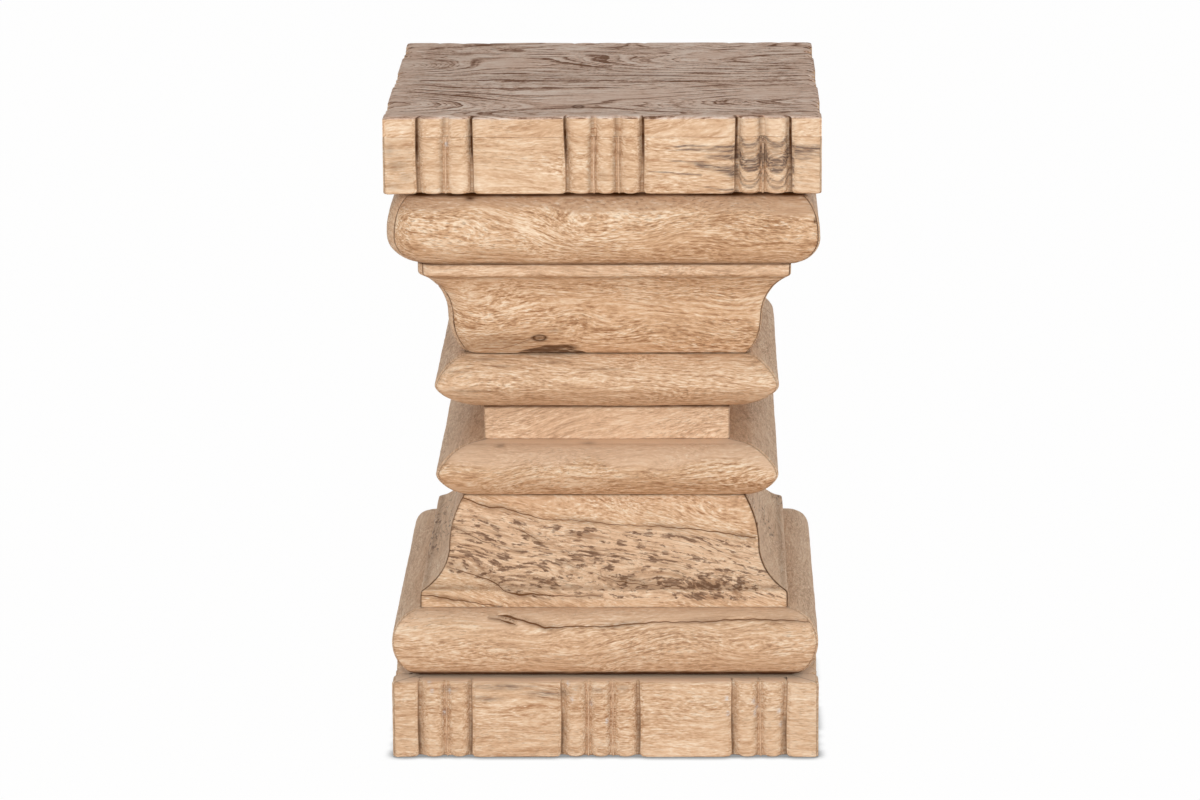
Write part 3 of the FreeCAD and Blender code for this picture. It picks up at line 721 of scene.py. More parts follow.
# %% Hand-made unevenness
def wander(places, wave, seed, waves=7):
    """A smooth random number, mostly from -1 to 1, at each place, with bumps about a wave long."""
    draw = np.random.default_rng(seed)
    total = np.zeros(places.shape[:-1])
    for _ in range(waves):
        heading = draw.normal(size=3)
        heading *= 2 * math.pi / (wave * draw.uniform(0.7, 1.5) * np.linalg.norm(heading))
        total += np.sin(places @ heading + draw.uniform(0.0, 2 * math.pi))
    return total / math.sqrt(waves)


def near(distance, width):
    """1 at distance 0, fading to nothing at about twice the width."""
    return np.exp(-((distance / width) ** 2))


def step_up(value, low, high):
    """A smooth step from 0 to 1."""
    share_of = np.clip((value - low) / (high - low), 0.0, 1.0)
    return share_of * share_of * (3 - 2 * share_of)


row_of_places = np.linspace((0.0, 0.0, 0.0), (0.1, 0.0, 0.0), 6)
print("wander over 0.1 m:", np.round(wander(row_of_places, wave=0.07, seed=1), 2))

# %% [markdown]
# This is the heart of the lesson. lay_out draws the outline along one side, round the worn corners to the
# mitres, as a grid of points. The grid runs on over flat ledges to the hidden inner face, so that it closes
# round the wood. An array of boxes with a bevel would be quicker, but its corners would all be alike.

# %% A grid for each length
LENGTH_STEP = 0.0013
MITRE_STEPS = np.array([0.0, 0.0003, 0.0006, 0.0010, 0.0015])
MITRE_MARGIN = 0.0022
LEDGE_MARGIN = 0.001
LEAST_DEPTH = 0.01
Outline = namedtuple("Outline", "points shows from_low from_high")


def ledge_row(edge, inner, steps):
    """Points of a flat ledge, from the inner face out to the edge, at the steps from the edge that fit."""
    outs = [edge[0] - step for step in steps if edge[0] - step > inner + LEDGE_MARGIN]
    return np.array([(inner, edge[1])] + [(out, edge[1]) for out in outs])


def closed_loop(face, inner, steps):
    """The face with a flat bottom and top back to the inner face, which points show, and how far they are
    from the lower and the upper edge of the face."""
    under = ledge_row(face[0], inner, steps)
    over = ledge_row(face[-1], inner, steps)[::-1]
    shows = np.concatenate([np.zeros(len(under)), np.ones(len(face)), np.zeros(len(over))])
    walked = np.concatenate([[0.0], np.cumsum(np.hypot(*np.diff(face, axis=0).T))])
    from_low = np.concatenate([np.ones(len(under)), walked, np.ones(len(over))])
    from_high = np.concatenate([np.ones(len(under)), walked[-1] - walked, np.ones(len(over))])
    return Outline(np.concatenate([under, face, over]), shows, from_low, from_high)


def lay_out(points, inner, corner_from, corner_to, stations):
    """Grid of points (outline, stations, xyz) of the front length, and how far each is from a mitre."""
    out = points[:, :1]
    full = np.clip((out - inner) / max(points[:, 0].min() - inner, LEAST_DEPTH), 0.0, 1.0)
    radius = np.where(stations < 0, corner_from, corner_to) * full + 1e-9
    straight = out - radius
    walk = np.abs(stations) * (straight + radius * math.pi / 4)
    bend = np.clip((walk - straight) / radius, 0.0, math.pi / 4)
    along = np.where(walk < straight, walk, straight + radius * np.sin(bend)) * np.sign(stations)
    toward = straight + radius * np.cos(bend)
    heights = np.broadcast_to(points[:, 1:], along.shape)
    to_mitre = (1 - np.abs(stations)) * (straight + radius * math.pi / 4)
    return np.stack([along, -toward, heights], axis=-1), to_mitre


def stations_along(length):
    """Shares from -1 to 1 along a length, closer together at the two mitres."""
    close = MITRE_STEPS / (length / 2)
    margin = MITRE_MARGIN / (length / 2)
    inside = np.linspace(-1 + margin, 1 - margin, round(length / LENGTH_STEP))
    return np.concatenate([-1 + close, inside, (1 - close)[::-1]])


def outward(grid):
    """Unit normals of a grid, pointing away from the wood."""
    across = np.cross(np.gradient(grid, axis=1), np.gradient(grid, axis=0))
    return across / np.maximum(np.linalg.norm(across, axis=-1, keepdims=True), 1e-12)


print("stations on a length of 0.3 m:", len(stations_along(0.3)))

# %% [markdown]
# Each point of the wood carries marks, numbers from 0 to 1 that say how dirty, stained, flecked or rubbed it
# is, and how much painted shade and painted light it takes. Two more measure the way to a crack. The board
# attribute is its place in the tree. Separate mask pictures would need unwrapping, while attributes stay
# with their points.

# %% Marks and place in the tree
# Grime also paints shade, and dust also paints light.
MARKS = ("grime", "spalt", "fleck", "bark", "pale", "dust", "calm", "weather")
FAR_OFF = 0.02
SHUT = -0.002


def blank_marks(grid):
    """All marks at nothing, for a fresh length."""
    marks = {key: np.zeros(grid.shape[:2]) for key in MARKS}
    marks["split"] = np.full(grid.shape[:2], FAR_OFF)
    marks["gape"] = np.full(grid.shape[:2], SHUT)
    return marks


def deepen(marks, key, values):
    """Raises a mark to the values where they are higher."""
    marks[key] = np.maximum(marks[key], values)


def in_its_tree(grid, seed, heart_down, heart_back, slope=0.0, taper=0.0, bend=0.0):
    """The board attribute: where each point lies in the tree it came from."""
    draw = np.random.default_rng(seed)
    along, out, height = grid[..., 0], -grid[..., 1], grid[..., 2]
    up = height - height.mean() + heart_down + slope * along + bend
    back = out - out.max() + heart_back + taper * along
    return np.stack([along - slope * (height - height.mean()) + draw.uniform(1.0, 9.0), up, back], axis=-1)


print("marks on the wood:", MARKS)

# %% [markdown]
# A finished grid becomes a mesh: four-sided faces between its points, and a cap at each end, so the length
# is a closed solid. The marks are stored as attributes for the wood. Adding the faces one by one would be
# slow for so many, so whole arrays are handed to the mesh. Each length rides on the one body of the table
# and stands for its solid.

# %% From a grid to a length of wood
SIDES = ("front", "right", "back", "left")
SHARP_DEGREES = 55


def quarter_turn(side):
    """The turn about the upright axis that brings the front to a side."""
    quarter = side * math.pi / 2
    return np.array([[math.cos(quarter), -math.sin(quarter), 0.0],
                     [math.sin(quarter), math.cos(quarter), 0.0],
                     [0.0, 0.0, 1.0]])


def grid_faces(index):
    """Four-sided faces between the rows and columns of a grid of point numbers."""
    corners = [index[:-1, :-1], index[:-1, 1:], index[1:, 1:], index[1:, :-1]]
    return np.stack(corners, axis=-1).reshape(-1, 4)


def make_solid(name, node, slot, grid, faces_round, caps, marks):
    """A closed mesh object from a grid, its faces and caps, which stands for a solid."""
    mesh = bpy.data.meshes.new(name)
    mesh.vertices.add(grid.shape[0] * grid.shape[1])
    mesh.vertices.foreach_set("co", grid.astype(np.float32).ravel())
    corners = np.concatenate([faces_round.ravel(), *caps]).astype(np.int32)
    sizes = np.concatenate([np.full(len(faces_round), 4), [len(cap) for cap in caps]]).astype(np.int32)
    starts = np.concatenate([[0], np.cumsum(sizes)[:-1]]).astype(np.int32)
    mesh.loops.add(len(corners))
    mesh.loops.foreach_set("vertex_index", corners)
    mesh.polygons.add(len(sizes))
    mesh.polygons.foreach_set("loop_start", starts)
    mesh.polygons.foreach_set("use_smooth", np.ones(len(sizes), bool))
    for key, values in marks.items():
        kind, field = ("FLOAT_VECTOR", "vector") if values.ndim == 3 else ("FLOAT", "value")
        mesh.attributes.new(key, kind, "POINT").data.foreach_set(field, values.astype(np.float32).ravel())
    mesh.update(calc_edges=True)
    mesh.set_sharp_from_angle(angle=math.radians(SHARP_DEGREES))
    mesh.materials.append(finishes[slot])
    made = bpy.data.objects.new(name, mesh)
    bpy.context.scene.collection.objects.link(made)
    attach(made, "root")
    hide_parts(node)
    return made


def stock(layer, side, slot, grid, marks):
    """One mitred length for a side, from its finished grid."""
    node = f"{layer}_{SIDES[side]}"
    index = np.arange(grid.shape[0] * grid.shape[1]).reshape(grid.shape[:2])
    round_trip = np.concatenate([index, index[:1]])
    caps = [index[:, 0], index[::-1, -1]]
    turned_grid = grid @ quarter_turn(side).T
    return make_solid(f"{node}_wood", node, slot, turned_grid, grid_faces(round_trip), caps, marks)


print("sides:", SIDES)

# %% [markdown]
# Cracks, knots and stains have a place that can be read off the picture of the front. A crack is a line of
# columns and rows. Its distance from each point goes into the split attribute, so that the wood recipe can
# draw a thin sharp line however coarse the mesh is, and the surface sinks into a small groove along it.
# Cutting cracks with a boolean would need far finer meshes. Knots and smudges are ovals.

# %% Cracks, knots and smudges
METRES_PER_PIXEL = 0.00076
CRACK_REACH = 0.0016
CRACK_TIGHT = 0.0001
CRACK_GROOVE = 0.0008
CRACK_STAIN = 0.0021
CRACK_STAIN_DARK = 0.40


def line_row(line, column):
    """Row of a line in the picture at each column."""
    points = np.array(line, float)
    return np.interp(column, points[:, 0], points[:, 1])


def crack(marks, sunk, column, row, line, crooked, deep):
    """Cuts a crack along a line of (column, row, width) points, all in pixels of the picture."""
    columns, rows, widths = np.array(line, float).T
    wobble = np.sin(column / 2.3 + rows[0]) + np.sin(column / 5.1 + 1.0)
    wobble = wobble + 1.4 * np.sin(column / 17.0 + rows[0])
    offset = (row - np.interp(column, columns, rows) - crooked * wobble) * METRES_PER_PIXEL
    inside = (column >= columns[0]) & (column <= columns[-1])
    half_width = np.interp(column, columns, widths) / 2 * METRES_PER_PIXEL
    mine = inside & (np.abs(offset) < CRACK_REACH + half_width)
    marks["split"] = np.where(mine, offset, marks["split"])
    marks["gape"] = np.where(mine, half_width - CRACK_TIGHT, marks["gape"])
    off_edge = np.maximum(np.abs(offset) - half_width, 0.0)
    sunk += deep * inside * near(off_edge, CRACK_GROOVE)
    blotchy = 0.6 + 0.4 * np.sin(column / 13.0 + rows[0])
    deepen(marks, "grime", CRACK_STAIN_DARK * inside * near(off_edge, CRACK_STAIN) * blotchy)


def off_middle(column, row, at, size, turn_by=0.0):
    """Distance from the middle of an oval, 1 at its rim."""
    x = column - at[0]
    y = row - at[1]
    c = math.cos(turn_by)
    s = math.sin(turn_by)
    return np.hypot((x * c + y * s) / size[0], (y * c - x * s) / size[1])


def spot(column, row, at, size, turn_by=0.0):
    """1 in the middle of an oval, fading to 0 outside it."""
    return near(off_middle(column, row, at, size, turn_by), 1.0)


print("a pixel of the picture is about", METRES_PER_PIXEL * 1000, "mm of wood")

# %% [markdown]
# The front of the lower half round has one long open crack, with a short one beside it and rubbed wood
# above, and the lower ring has two small knots. They could be left to chance, as on the other sides, but
# the crack is the first thing that is seen of the foot, so its line follows the picture.

# %% Front of the lower half round and ring
LOWER_TORUS_CRACK = (
    (497, 613.5, 0.4), (505, 614.5, 2.6), (511, 615.5, 3.4), (518, 618, 2.0), (530, 622.5, 2.2),
    (545, 627.5, 2.4), (562, 627.5, 1.6), (575, 625.5, 1.8), (600, 626, 1.4), (650, 622, 1.4),
    (700, 620.5, 1.2), (735, 618.5, 1.6), (775, 619, 1.2), (810, 620, 0.8))
LOWER_TORUS_SHORT = ((488, 617, 0.3), (500, 619.5, 1.0), (509, 622, 2.8), (517, 624.5, 0.4))
LOWER_RING_KNOTS = (((498, 445.5), (5, 2.0)), ((586, 443), (7, 1.3)))


def lower_torus_front(column, row, marks, sunk):
    """A long open crack and a short one, with rubbed wood above."""
    crack(marks, sunk, column, row, LOWER_TORUS_CRACK, crooked=0.30, deep=0.0013)
    crack(marks, sunk, column, row, LOWER_TORUS_SHORT, crooked=0.20, deep=0.0009)
    marks["calm"] = 0.9 * step_up(line_row(LOWER_TORUS_CRACK, column) - row, 0.5, 3.5)


def lower_ring_front(column, row, marks, sunk):
    """Two small knots."""
    knots = sum(spot(column, row, at, size) for at, size in LOWER_RING_KNOTS)
    marks["bark"] = 0.50 * np.clip(knots, 0.0, 1.0)
    sunk += 0.0003 * knots


print("long crack:", LOWER_TORUS_CRACK[-1][0] - LOWER_TORUS_CRACK[0][0], "pixels")

# %% [markdown]
# The lower ogee is the most marked piece: cracks, a seam, a scooped step, and rows of brown flecks with thin
# veins. Noise alone would strew flecks evenly, so each row is a short line in the picture where they crowd.

# %% Front of the lower ogee
LOWER_OGEE_CRACK = (
    (463, 497, 1.4), (475, 502, 1.6), (490, 507.5, 1.6), (505, 508, 1.2), (525, 514, 1.3), (545, 519, 1.0),
    (575, 520, 0.8), (615, 525, 1.0), (660, 526, 0.9), (700, 530, 1.3), (757, 538, 1.2))
LOWER_OGEE_SEAM = ((421, 595.5, 1.2), (450, 599, 1.4), (478, 603, 1.2), (505, 607, 0.6))
LOWER_OGEE_STEP = (
    (447, 565, 0.5), (470, 573, 1.2), (487, 578, 1.2), (497, 583, 1.6), (505, 591, 1.2), (520, 595.5, 2.4),
    (535, 594.5, 1.8), (560, 596, 1.2), (604, 596, 0.5))
SCOOP_ENDS = (495.0, 525.0)
SCOOP_DEEP = (3.0, 15.0)
FLECKS_PAST_STEP = 10.0
FLECK_ROWS = (
    ((455, 530), (480, 540), (510, 549)), ((484, 555), (518, 573), (563, 588)),
    ((558, 553), (597, 557), (628, 567)), ((622, 534), (668, 535), (712, 542)),
    ((636, 552), (689, 556), (735, 567)), ((660, 581), (710, 584), (757, 586)),
    ((682, 595), (712, 600), (748, 602)), ((450, 557), (475, 556), (496, 560)),
    ((470, 590), (484, 594), (500, 598)), ((505, 524), (530, 534), (560, 548)))
ROW_ENDS = 12
ROW_WIDE = 6.5
FLECK_VEINS = (
    ((452, 526, 0.4), (480, 539, 1.1), (525, 553, 0.3)), ((556, 562, 0.3), (597, 572, 1.2), (662, 585, 0.4)),
    ((582, 569, 0.3), (625, 582, 1.0), (690, 590, 0.3)), ((512, 525, 0.3), (530, 535, 1.2), (541, 543, 0.4)))


def fleck_rows(column, row):
    """1 along the rows where the flecks crowd, 0 away from them."""
    in_row = np.zeros_like(column)
    for line in FLECK_ROWS:
        start = line[0][0]
        end = line[-1][0]
        inside = step_up(column, start, start + ROW_ENDS) * step_up(-column, -end, ROW_ENDS - end)
        in_row = np.maximum(in_row, inside * near(row - line_row(line, column), ROW_WIDE))
    return in_row


def lower_ogee_front(column, row, marks, sunk):
    """Cracks, a seam and a scooped step, with flecks between the crack and the step."""
    crack(marks, sunk, column, row, LOWER_OGEE_CRACK, crooked=0.25, deep=0.0006)
    crack(marks, sunk, column, row, LOWER_OGEE_SEAM, crooked=0.35, deep=0.0006)
    crack(marks, sunk, column, row, LOWER_OGEE_STEP, crooked=0.30, deep=0.0006)
    for vein in FLECK_VEINS:
        crack(marks, sunk, column, row, vein, crooked=0.40, deep=0.0002)
    under_crack = step_up(row - line_row(LOWER_OGEE_CRACK, column), 0.0, 8.0)
    step_row = line_row(LOWER_OGEE_STEP, column)
    over_step = step_up(step_row + FLECKS_PAST_STEP - row, 0.0, 9.0)
    above = step_row - row
    scoop = step_up(above, -1.0, 1.0) * step_up(-above, -SCOOP_DEEP[1], -SCOOP_DEEP[0])
    deepen(marks, "grime", 0.24 * (scoop * step_up(-column, -SCOOP_ENDS[1], -SCOOP_ENDS[0])))
    marks["fleck"] = under_crack * over_step * (0.76 + 0.22 * fleck_rows(column, row))
    marks["dust"] = 0.24 * under_crack * over_step


print("lines of flecks:", len(FLECK_ROWS), "rows and", len(FLECK_VEINS), "veins")

# %% [markdown]
# The upper ogee keeps a ragged strip of bark along its lower edge, with a round knot above it, and the ring
# and the half round have smudges and chips. These dark places are marks with soft edges, which the noise
# of the recipe tears. Pieces of bark could be modelled one by one, but they lie flush with the wood.

# %% Front of the upper mouldings
UPPER_OGEE_FOLD = ((497, 350, 0.3), (508, 347, 0.7), (520, 343.5, 0.7), (533, 338.5, 0.4))
BARK_TOP = ((514, 354), (530, 347.5), (544, 344.5), (560, 344.5), (575, 347.5), (588, 354))
BARK_STARTS = (512, 530)
BARK_STOPS = (574, 590)
BARK_WAVE = 4.5
BARK_SEED = 21
OGEE_KNOT = ((539, 338.4), (8.0, 3.6))
OGEE_DARK_END = ((569, 348.5), (8, 2.6))
OGEE_SMUDGE = ((553, 331), (7, 2.0))
OGEE_TAN = ((498, 345), (48, 11))
RING_SMUDGES = (
    ((484, 359), (15, 2.2)), ((499, 366), (12, 1.4)), ((552, 362), (15, 1.4)), ((600, 369), (20, 1.2)),
    ((455, 372), (10, 1.4)), ((470, 391), (22, 1.3)), ((432, 380), (8, 1.5)))
UPPER_TORUS_CHIPS = (((470, 198), (5, 2.5)), ((815, 221), (1.2, 3.0)))


def upper_ogee_front(column, row, marks, sunk):
    """Bark along the lower edge, a knot, and a fold in the grain beside it."""
    crack(marks, sunk, column, row, UPPER_OGEE_FOLD, crooked=0.15, deep=0.0004)
    places = np.stack([column * 0.22, row, 0 * row], axis=-1)
    ragged = 1.7 * wander(places, BARK_WAVE, BARK_SEED) * step_up(column, *BARK_STARTS)
    ragged = ragged * step_up(-column, -BARK_STOPS[1], -BARK_STOPS[0])
    bark = 0.85 * step_up(row - line_row(BARK_TOP, column) + ragged, 0.0, 2.2)
    from_knot = off_middle(column, row, *OGEE_KNOT)
    knot = np.maximum(near(from_knot - 0.75, 0.28), 0.75 * near(from_knot, 0.55))
    dark_end = spot(column, row, *OGEE_DARK_END)
    smudge = 0.35 * spot(column, row, *OGEE_SMUDGE)
    marks["bark"] = np.clip(np.maximum.reduce([bark, knot, dark_end, smudge]), 0.0, 1.0)
    sunk += 0.0007 * marks["bark"]
    deepen(marks, "grime", 0.32 * spot(column, row, *OGEE_TAN))


def upper_ring_front(column, row, marks, sunk):
    """Faint smudges, which don't go into the wood."""
    for at, size in RING_SMUDGES:
        deepen(marks, "bark", 0.40 * spot(column, row, at, size))


def upper_torus_front(column, row, marks, sunk):
    """Two dark chips, which are too small to be cut."""
    for at, size in UPPER_TORUS_CHIPS:
        deepen(marks, "bark", spot(column, row, at, size))


FRONT_FEATURES = {
    "lower_torus": lower_torus_front,
    "lower_ogee": lower_ogee_front,
    "lower_ring": lower_ring_front,
    "upper_ring": upper_ring_front,
    "upper_ogee": upper_ogee_front,
    "upper_torus": upper_torus_front,
}
print("fronts with features:", list(FRONT_FEATURES))

# %% [markdown]
# Of the four sides the picture shows only the front. The others are taken to be the same wood from the
# same hand, so they get drying cracks, knots and flecks too. They could be left plain, but then the table
# would look unfinished from behind. Their places are drawn from a generator with a fixed seed for each
# length, so every side differs, but a rerun gives the same table.

# %% Features of the other sides
CRACK_CHANCE = 0.55
KNOT_CHANCE = 0.45
CRACK_POINTS = 7
SIDE_KNOT_SIZE = (9.0, 4.5)
FLECK_STRETCH = np.array([0.5, 1.0, 1.0])


def other_features(layer, grid, seed, marks, sunk):
    """Drying cracks, knots and flecks on the lengths that the picture doesn't show."""
    draw = np.random.default_rng(seed + 70)
    column = grid[..., 0] / METRES_PER_PIXEL
    row = -grid[..., 2] / METRES_PER_PIXEL
    low = row.min()
    high = row.max()
    if layer == "lower_ogee":
        marks["fleck"] = 0.72 * step_up(wander(grid * FLECK_STRETCH, 0.09, seed + 71), -0.1, 0.9)
    if draw.random() < CRACK_CHANCE and layer != "neck_rail":
        start = draw.uniform(-170, 40)
        length = draw.uniform(60, 150)
        level_here = draw.uniform(low + 0.3 * (high - low), low + 0.7 * (high - low))
        along = np.linspace(0.0, 1.0, CRACK_POINTS)
        rows = level_here + np.cumsum(draw.uniform(-1.6, 1.6, CRACK_POINTS))
        line = np.column_stack([start + length * along, rows, 1.5 * np.sin(math.pi * along) + 0.2])
        crack(marks, sunk, column, row, line, crooked=0.30, deep=0.0006)
    if draw.random() < KNOT_CHANCE:
        across_at = draw.uniform(-120, 120)
        row_at = draw.uniform(low + 0.25 * (high - low), low + 0.75 * (high - low))
        from_knot = off_middle(column, row, (across_at, row_at), SIDE_KNOT_SIZE)
        marks["bark"] = np.maximum(0.8 * near(from_knot - 0.75, 0.28), 0.6 * near(from_knot, 0.5))


print("chances on each hidden length: crack", CRACK_CHANCE, "and knot", KNOT_CHANCE)

# %% [markdown]
# Dirt gathers where layers meet, along the edges of each moulding and in the open mitres, and hands rub the
# upper flanks smooth and pale. The dark lower and upper edges are painted shade as well, under each overhang
# and under the fillet of an ogee, and the rubbed band of the upper half round gets painted shade too.
# Painted light makes some ledges, flanks and a fillet paler, and gives the sides away from the front the
# paler, greyer look of faces seen edge-on. Pointiness from the geometry node could find edges, but it
# depends on the mesh and misses where two pieces touch, so the distance from each edge, known from the
# outline, is used.

# %% Dirt, dust and rubbing
# Low and high are dirt and painted shade along the lower and upper edge; mitre is dirt in the joint.
EdgeDirtAndShade = namedtuple("EdgeDirtAndShade", "low high mitre")
EDGE_DIRT_AND_SHADE = {
    "upper_torus": EdgeDirtAndShade(0.36, 0.95, 0.90),
    "lower_torus": EdgeDirtAndShade(1.00, 0.05, 0.30),
    "upper_ogee": EdgeDirtAndShade(0.95, 0.90, 0.95),
    "lower_ogee": EdgeDirtAndShade(0.10, 0.55, 1.00),
    "upper_ring": EdgeDirtAndShade(0.90, 0.40, 0.40),
    "lower_ring": EdgeDirtAndShade(0.90, 0.05, 0.35),
    "neck_rail": EdgeDirtAndShade(0.10, 0.88, 0.50),
}
# Widths of the dark edge bands, painted shade with some dirt, and how far an overhang hides the top edge.
USUAL_LOW_BAND = 0.0017
LOW_BAND = {"upper_ogee": 0.0011, "lower_torus": 0.0068, "upper_torus": 0.0040, "upper_ring": 0.0040}
USUAL_HIGH_BAND = 0.0010
HIGH_BAND = {"upper_torus": 0.0026, "neck_rail": 0.0013}
HIDDEN_EDGE = {"neck_rail": 0.0018, "upper_ogee": 0.0004, "upper_torus": 0.0102}
FILLET_LINE = {"upper_ogee": upper_fillet_end - 0.0012, "lower_ogee": lower_fillet_end + 0.0012}
CALM_FROM = {"upper_torus": -0.0135, "lower_torus": -0.0080, "lower_ring": -0.0120}
LIGHTER = {"upper_ring": 0.12, "lower_torus": 0.12, "neck_rail": 0.30}
# Dust and painted light on the sides, ledges and flanks; painted shade on the rubbed upper half round.
SIDE_DUST_AND_SHEEN = 0.26
LEDGE_PAINTED_LIGHT = 0.9
FLANK_DUST_AND_LIGHT = 0.30
FILLET_DUST_BAND = 0.003
FILLET_SHADOW = 0.28
FILLET_SHADOW_WIDE = 0.0013
FLANK_PAINTED_SHADE = 0.20
CALM_RAGGED = 0.0030
CALM_WAVE = 0.05
CALM_SOFT = (-0.0030, 0.0040)
SIDE_CALM = 0.4


def edge_dirt_and_shade(layer, outline, grid, marks):
    """Dirt and painted shade along the lower and upper edge of a moulding, painted shadow under an ogee's
    fillet.
    """
    dirt_and_shade = EDGE_DIRT_AND_SHADE[layer]
    from_edge = outline.from_low[:, None]
    if "torus" in layer:
        from_edge = grid[..., 2] - outline.points[:, 1].min()
    band = LOW_BAND.get(layer, USUAL_LOW_BAND)
    # Painted shade with some dirt along the lower edge; on a half round, over its downward underside.
    deepen(marks, "grime", dirt_and_shade.low * step_up(band - from_edge, 0.0, 0.5 * band))
    # Painted shade with some dirt below the top edge, lowered where an overhang hides the face.
    past_hidden = np.maximum(outline.from_high - HIDDEN_EDGE.get(layer, 0.0), 0.0)
    high_band = near(past_hidden, HIGH_BAND.get(layer, USUAL_HIGH_BAND))[:, None]
    deepen(marks, "grime", dirt_and_shade.high * high_band)
    # Painted shadow line under the fillet of an ogee.
    if layer in FILLET_LINE:
        deepen(marks, "grime", FILLET_SHADOW * near(grid[..., 2] - FILLET_LINE[layer], FILLET_SHADOW_WIDE))


def rubbing_and_dust(layer, side, outline, grid, seed, marks):
    """Rubbed upper flanks, and paler wood from dust and from painted light; painted shade on the upper half
    round.
    """
    if layer in CALM_FROM:
        ragged = CALM_RAGGED * wander(grid, CALM_WAVE, seed + 60)
        calm_line = outline.points[:, 1].max() + CALM_FROM[layer] + ragged
        calm_here = step_up(grid[..., 2] - calm_line, *CALM_SOFT)
        deepen(marks, "calm", calm_here * (1.0 if side == 0 else SIDE_CALM))
    deepen(marks, "dust", LIGHTER.get(layer, 0.0))
    # Painted light on the front ledges of the lower ring and on its rubbed flank.
    if layer == "lower_ring":
        lit_ledge = LEDGE_PAINTED_LIGHT * (side == 0) * (1 - outline.shows)[:, None]
        marks["dust"] = np.maximum(FLANK_DUST_AND_LIGHT * marks["calm"], lit_ledge)
    # Painted shade over the rubbed band of the upper half round.
    if layer == "upper_torus":
        deepen(marks, "grime", FLANK_PAINTED_SHADE * marks["calm"])
    # Dust and painted light on the fillet of the upper ogee.
    if layer == "upper_ogee":
        fillet_start = upper_fillet_end + FILLET_DUST_BAND
        marks["dust"] = FLANK_DUST_AND_LIGHT * step_up(grid[..., 2], upper_fillet_end, fillet_start)
    # Dust and painted sheen: the sides away from the front are paler and greyer, as faces seen edge-on look.
    if side:
        deepen(marks, "dust", SIDE_DUST_AND_SHEEN)


print("layers with dirty edges:", list(EDGE_DIRT_AND_SHADE))

# %% [markdown]
# The corners in the picture are worn differently: the left front corners of the upper half round and ogee
# are almost round, others are still sharp. The layers have settled a little sideways, and on the front the
# grain slopes and bends. All this could come from chance, but numbers for each layer keep to the picture.

# %% Wear and grain of each layer
CORNER_WEAR = {
    "upper_torus": (0.0220, 0.0050, 0.0060, 0.0060),
    "lower_torus": (0.0030, 0.0040, 0.0060, 0.0050),
    "upper_ogee": (0.0145, 0.0030, 0.0040, 0.0040),
    "lower_ogee": (0.0010, 0.0020, 0.0030, 0.0030),
    "upper_ring": (0.0050, 0.0040, 0.0040, 0.0040),
    "lower_ring": (0.0060, 0.0040, 0.0040, 0.0040),
    "neck_rail": (0.0012, 0.0012, 0.0012, 0.0012),
}
USUAL_MITRE_WIDE = 0.0007
MITRE_WIDE = {"lower_ogee": 0.0011}
MITRE_DEEP = 0.0006
HAND_SINK = 0.0002
HAND_ROLL = 0.00016
ROLL_WAVE = 0.070
HAND_DENT = 0.00007
DENT_WAVE = 0.013
Tree = namedtuple("Tree", "heart_down heart_back slope taper")
MOULDING_TREE = Tree((0.02, 0.07), (0.03, 0.08), (-0.04, 0.04), (-0.05, 0.05))
SETTLED = {
    "upper_ogee": 0.0004, "upper_ring": 0.0018, "neck_rail": 0.0012, "lower_ring": 0.0018,
    "lower_ogee": -0.0008}
FRONT_SLOPE = {
    "upper_torus": 0.07, "upper_ogee": 0.03, "upper_ring": 0.06, "neck_rail": -0.20, "lower_ring": -0.12,
    "lower_ogee": 0.23, "lower_torus": -0.06}
FRONT_BENDS = {
    "upper_torus": (((595, 232), (75, 32), 0.011),),
    "upper_ogee": (((478, 312), (42, 26), 0.007), ((575, 312), (32, 16), -0.005)),
    "lower_torus": (((541, 642), (55, 26), 0.009), ((690, 640), (70, 22), -0.004)),
}
print("roundest corner:", 1000 * max(max(wear) for wear in CORNER_WEAR.values()), "mm")

# %% [markdown]
# Now the half rounds, ogees, rings and the neck can be made. Each length gets its own wander, its worn
# corners, fine dark mitre lines, and a piece of tree of its own. Copies of one length would be lighter,
# but would all look alike.

# %% Mouldings
LEDGE_ROWS = (0.030, 0.015, 0.006, 0.002)


